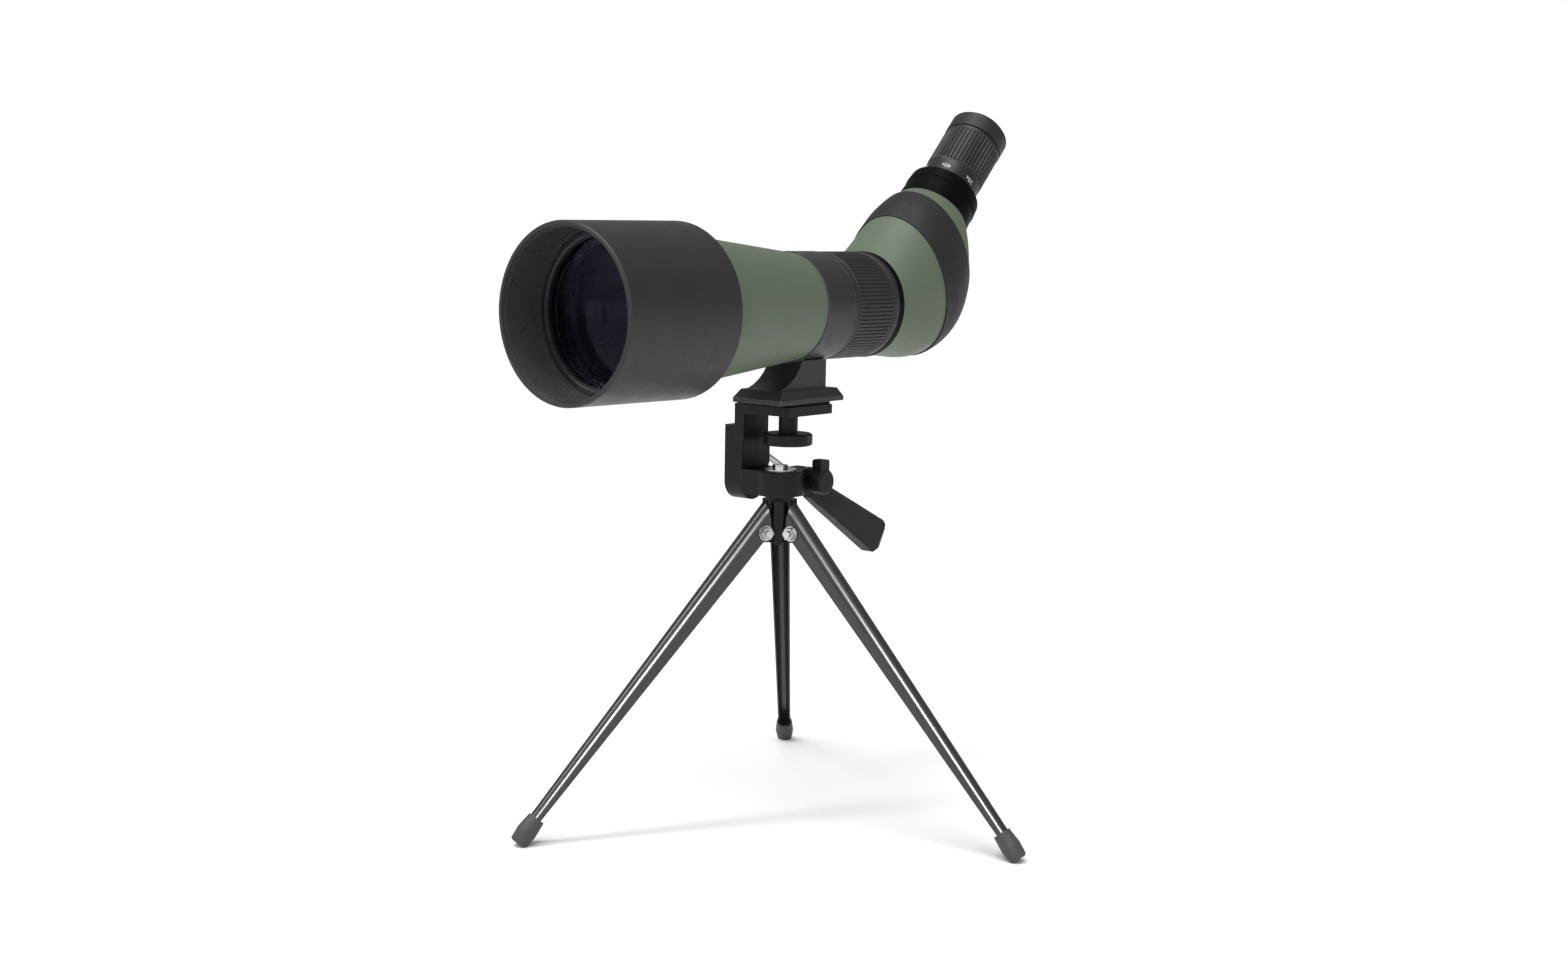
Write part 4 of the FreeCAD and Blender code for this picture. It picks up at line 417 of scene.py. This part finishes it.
NUMBER_SIZE, NUMBER_PLACE = 0.0043, 0.1056
PAINT_LIFT, PAINT_ROOT = 0.00004, -0.00006
DIAL_MIDDLE, DIAL_STEP = math.radians(70.0), math.radians(55.0)


def flat_text(text):
    """A line of text as a flat mesh of the XY plane."""
    curve = bpy.data.curves.new("lettering", "FONT")
    curve.body = text
    curve.size = NUMBER_SIZE
    curve.align_x = "CENTER"
    curve.align_y = "CENTER"
    curve.resolution_u = 3
    holder = bpy.data.objects.new("lettering", curve)
    bpy.context.scene.collection.objects.link(holder)
    bpy.context.view_layer.update()
    mesh = bpy.data.meshes.new_from_object(
        holder.evaluated_get(bpy.context.evaluated_depsgraph_get()))
    bpy.data.objects.remove(holder)
    bpy.data.curves.remove(curve)
    return mesh


def wrapped(name, flat, angle):
    """Bends a flat mesh of the XY plane round the dial, its top towards the scope, as thin raised
    paint."""
    side, up = across(EYE_AXIS)
    shape = bmesh.new()
    shape.from_mesh(flat)
    bmesh.ops.triangulate(shape, faces=shape.faces)
    bmesh.ops.subdivide_edges(shape, edges=shape.edges, cuts=1)
    made = bmesh.ops.extrude_face_region(shape, geom=list(shape.faces))
    root = {item for item in made["geom"] if isinstance(item, bmesh.types.BMVert)}
    for vert in shape.verts:
        turn = angle + vert.co.x / DIAL_RADIUS
        r = DIAL_RADIUS + (PAINT_ROOT if vert in root else PAINT_LIFT)
        vert.co = (ELBOW + EYE_AXIS * (NUMBER_PLACE - vert.co.y)
                   + (side * math.cos(turn) + up * math.sin(turn)) * r)
    bmesh.ops.recalc_face_normals(shape, faces=shape.faces)
    mesh = bpy.data.meshes.new(name)
    shape.to_mesh(mesh)
    shape.free()
    return mesh


for step, power in ((-1, 20), (0, 40), (1, 60)):
    piece_name = f"zoom_number_{power}"
    digits = wrapped(piece_name, flat_text(f"{power}x"), DIAL_MIDDLE + DIAL_STEP * step)
    new_piece(piece_name, digits, "zoom_ring", "eye_black", NUMBER_PAINT)


# ---------------------------------------------------------------- thumb wheel under the platform

WHEEL_SEGMENTS, WHEEL_FLUTES, WHEEL_FLUTE_DEPTH = 240, 24, 0.0002
WHEEL_EDGE_HEIGHT, WHEEL_EDGE_IN, WHEEL_EDGE_WEIGHT = 0.0009, 0.0012, 0.6
wheel_profile = [
    (WHEEL_BOTTOM, SCREW_RADIUS, 0), (WHEEL_BOTTOM, WHEEL_RADIUS - WHEEL_EDGE_IN, WHEEL_EDGE_WEIGHT),
    (WHEEL_BOTTOM + WHEEL_EDGE_HEIGHT, WHEEL_RADIUS, 1),
    (WHEEL_TOP - WHEEL_EDGE_HEIGHT, WHEEL_RADIUS, 1),
    (WHEEL_TOP, WHEEL_RADIUS - WHEEL_EDGE_IN, WHEEL_EDGE_WEIGHT), (WHEEL_TOP, WHEEL_HUB_RADIUS, 0),
    (WHEEL_HUB_TOP, WHEEL_HUB_RADIUS, 0), (WHEEL_HUB_TOP, SCREW_RADIUS, 0),
]
wheel_low, wheel_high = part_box("thumb_wheel")
wheel_centre = (wheel_low + wheel_high) / 2
wheel_mesh = lathe(
    "thumb_wheel_fluted", Vector((wheel_centre.x, wheel_centre.y, 0)), Vector((0, 0, 1)),
    wheel_profile, WHEEL_SEGMENTS, flutes(WHEEL_FLUTES, WHEEL_FLUTE_DEPTH))
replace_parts(new_piece("thumb_wheel_fluted", wheel_mesh, "camera_screw", "head_plastic"), "thumb_wheel")


# ---------------------------------------------------------------- floor, light and camera

FLOOR_HALF = 40.0
AMBIENT, BACKDROP = 0.36, 1.0
MIDDLE = (0.0, 0.0, 0.25)


def add_floor():
    mesh = bpy.data.meshes.new("floor")
    shape = bmesh.new()
    shape.faces.new([shape.verts.new((x * FLOOR_HALF, y * FLOOR_HALF, 0.0))
                     for x, y in ((-1, -1), (1, -1), (1, 1), (-1, 1))])
    shape.to_mesh(mesh)
    shape.free()
    mesh.materials.append(FLOOR_PALE)
    floor = bpy.data.objects.new("floor", mesh)
    bpy.context.scene.collection.objects.link(floor)


def add_world():
    """Even white light, with a brighter white behind the object."""
    world = bpy.data.worlds.new("studio")
    bpy.context.scene.world = world
    world.use_nodes = True
    sky = world.node_tree
    sky.nodes.clear()
    white = (1.0, 1.0, 1.0, 1.0)
    ambient = add_node(sky, "ShaderNodeBackground", Strength=AMBIENT, Color=white)
    backdrop = add_node(sky, "ShaderNodeBackground", Strength=BACKDROP, Color=white)
    choose = add_node(sky, "ShaderNodeMixShader")
    sky.links.new(add_node(sky, "ShaderNodeLightPath").outputs["Is Camera Ray"], choose.inputs[0])
    sky.links.new(ambient.outputs[0], choose.inputs[1])
    sky.links.new(backdrop.outputs[0], choose.inputs[2])
    sky.links.new(choose.outputs[0], add_node(sky, "ShaderNodeOutputWorld").inputs[0])


def add_light(name, kind, place, target, strength, size, only=()):
    """only names the nodes that the light falls on, where it is a highlight for them alone."""
    light = bpy.data.lights.new(name, kind)
    light.energy = strength
    if kind == "SUN":
        light.angle = math.radians(size)
    else:
        light.shape = "RECTANGLE"
        light.size, light.size_y = size
    holder = bpy.data.objects.new(name, light)
    holder.location = place
    holder.rotation_euler = (Vector(target) - Vector(place)).to_track_quat("-Z", "Y").to_euler()
    bpy.context.scene.collection.objects.link(holder)
    if only:
        lit = bpy.data.collections.new(f"{name}_falls_on")
        for node_name in only:
            lit.objects.link(nodes[node_name])
        holder.light_linking.receiver_collection = lit


add_floor()
add_world()
add_light("key_sun", "SUN", (0.8, 0.3, 2.6), MIDDLE, 2.6, 45)
add_light("fill_sun", "SUN", (1.6, 2.0, 1.2), MIDDLE, 0.45, 60)
add_light("lens_box", "AREA", (0.733, -1.067, 0.110), (0.150, -0.033, 0.287), 60.0, (0.16, 0.22),
          only=("crown_lens",))
add_light("leg_box", "AREA", (1.4, 1.05, 0.85), (0.0, 0.0, 0.10), 55.0, (0.35, 0.35),
          only=("leg_1", "leg_2", "leg_3"))
add_light("front_box", "AREA", (1.7, 0.75, 0.75), (0.15, 0.0, 0.30), 4.0, (0.5, 0.5))
add_light("strip_box", "AREA", (1.0, -0.7, 1.5), MIDDLE, 14.0, (0.30, 1.2))

CAMERA_PLACE = Vector((0.8683, 0.6883, 0.3521))
FORWARD = Vector((-0.7774, -0.6134, -0.1389)).normalized()
RIGHT = FORWARD.cross(Vector((-0.0970, -0.1012, 0.9901))).normalized()
UP = RIGHT.cross(FORWARD)
camera = bpy.data.cameras.new("camera")
camera.sensor_width = 36.0
camera.lens = 43.305
camera.clip_start = 0.01
camera_holder = bpy.data.objects.new("camera", camera)
camera_holder.matrix_world = Matrix.Translation(CAMERA_PLACE) @ Matrix(
    (RIGHT, UP, -FORWARD)).transposed().to_4x4()
bpy.context.scene.collection.objects.link(camera_holder)
bpy.context.scene.camera = camera_holder
bpy.context.scene.view_settings.view_transform = "Standard"
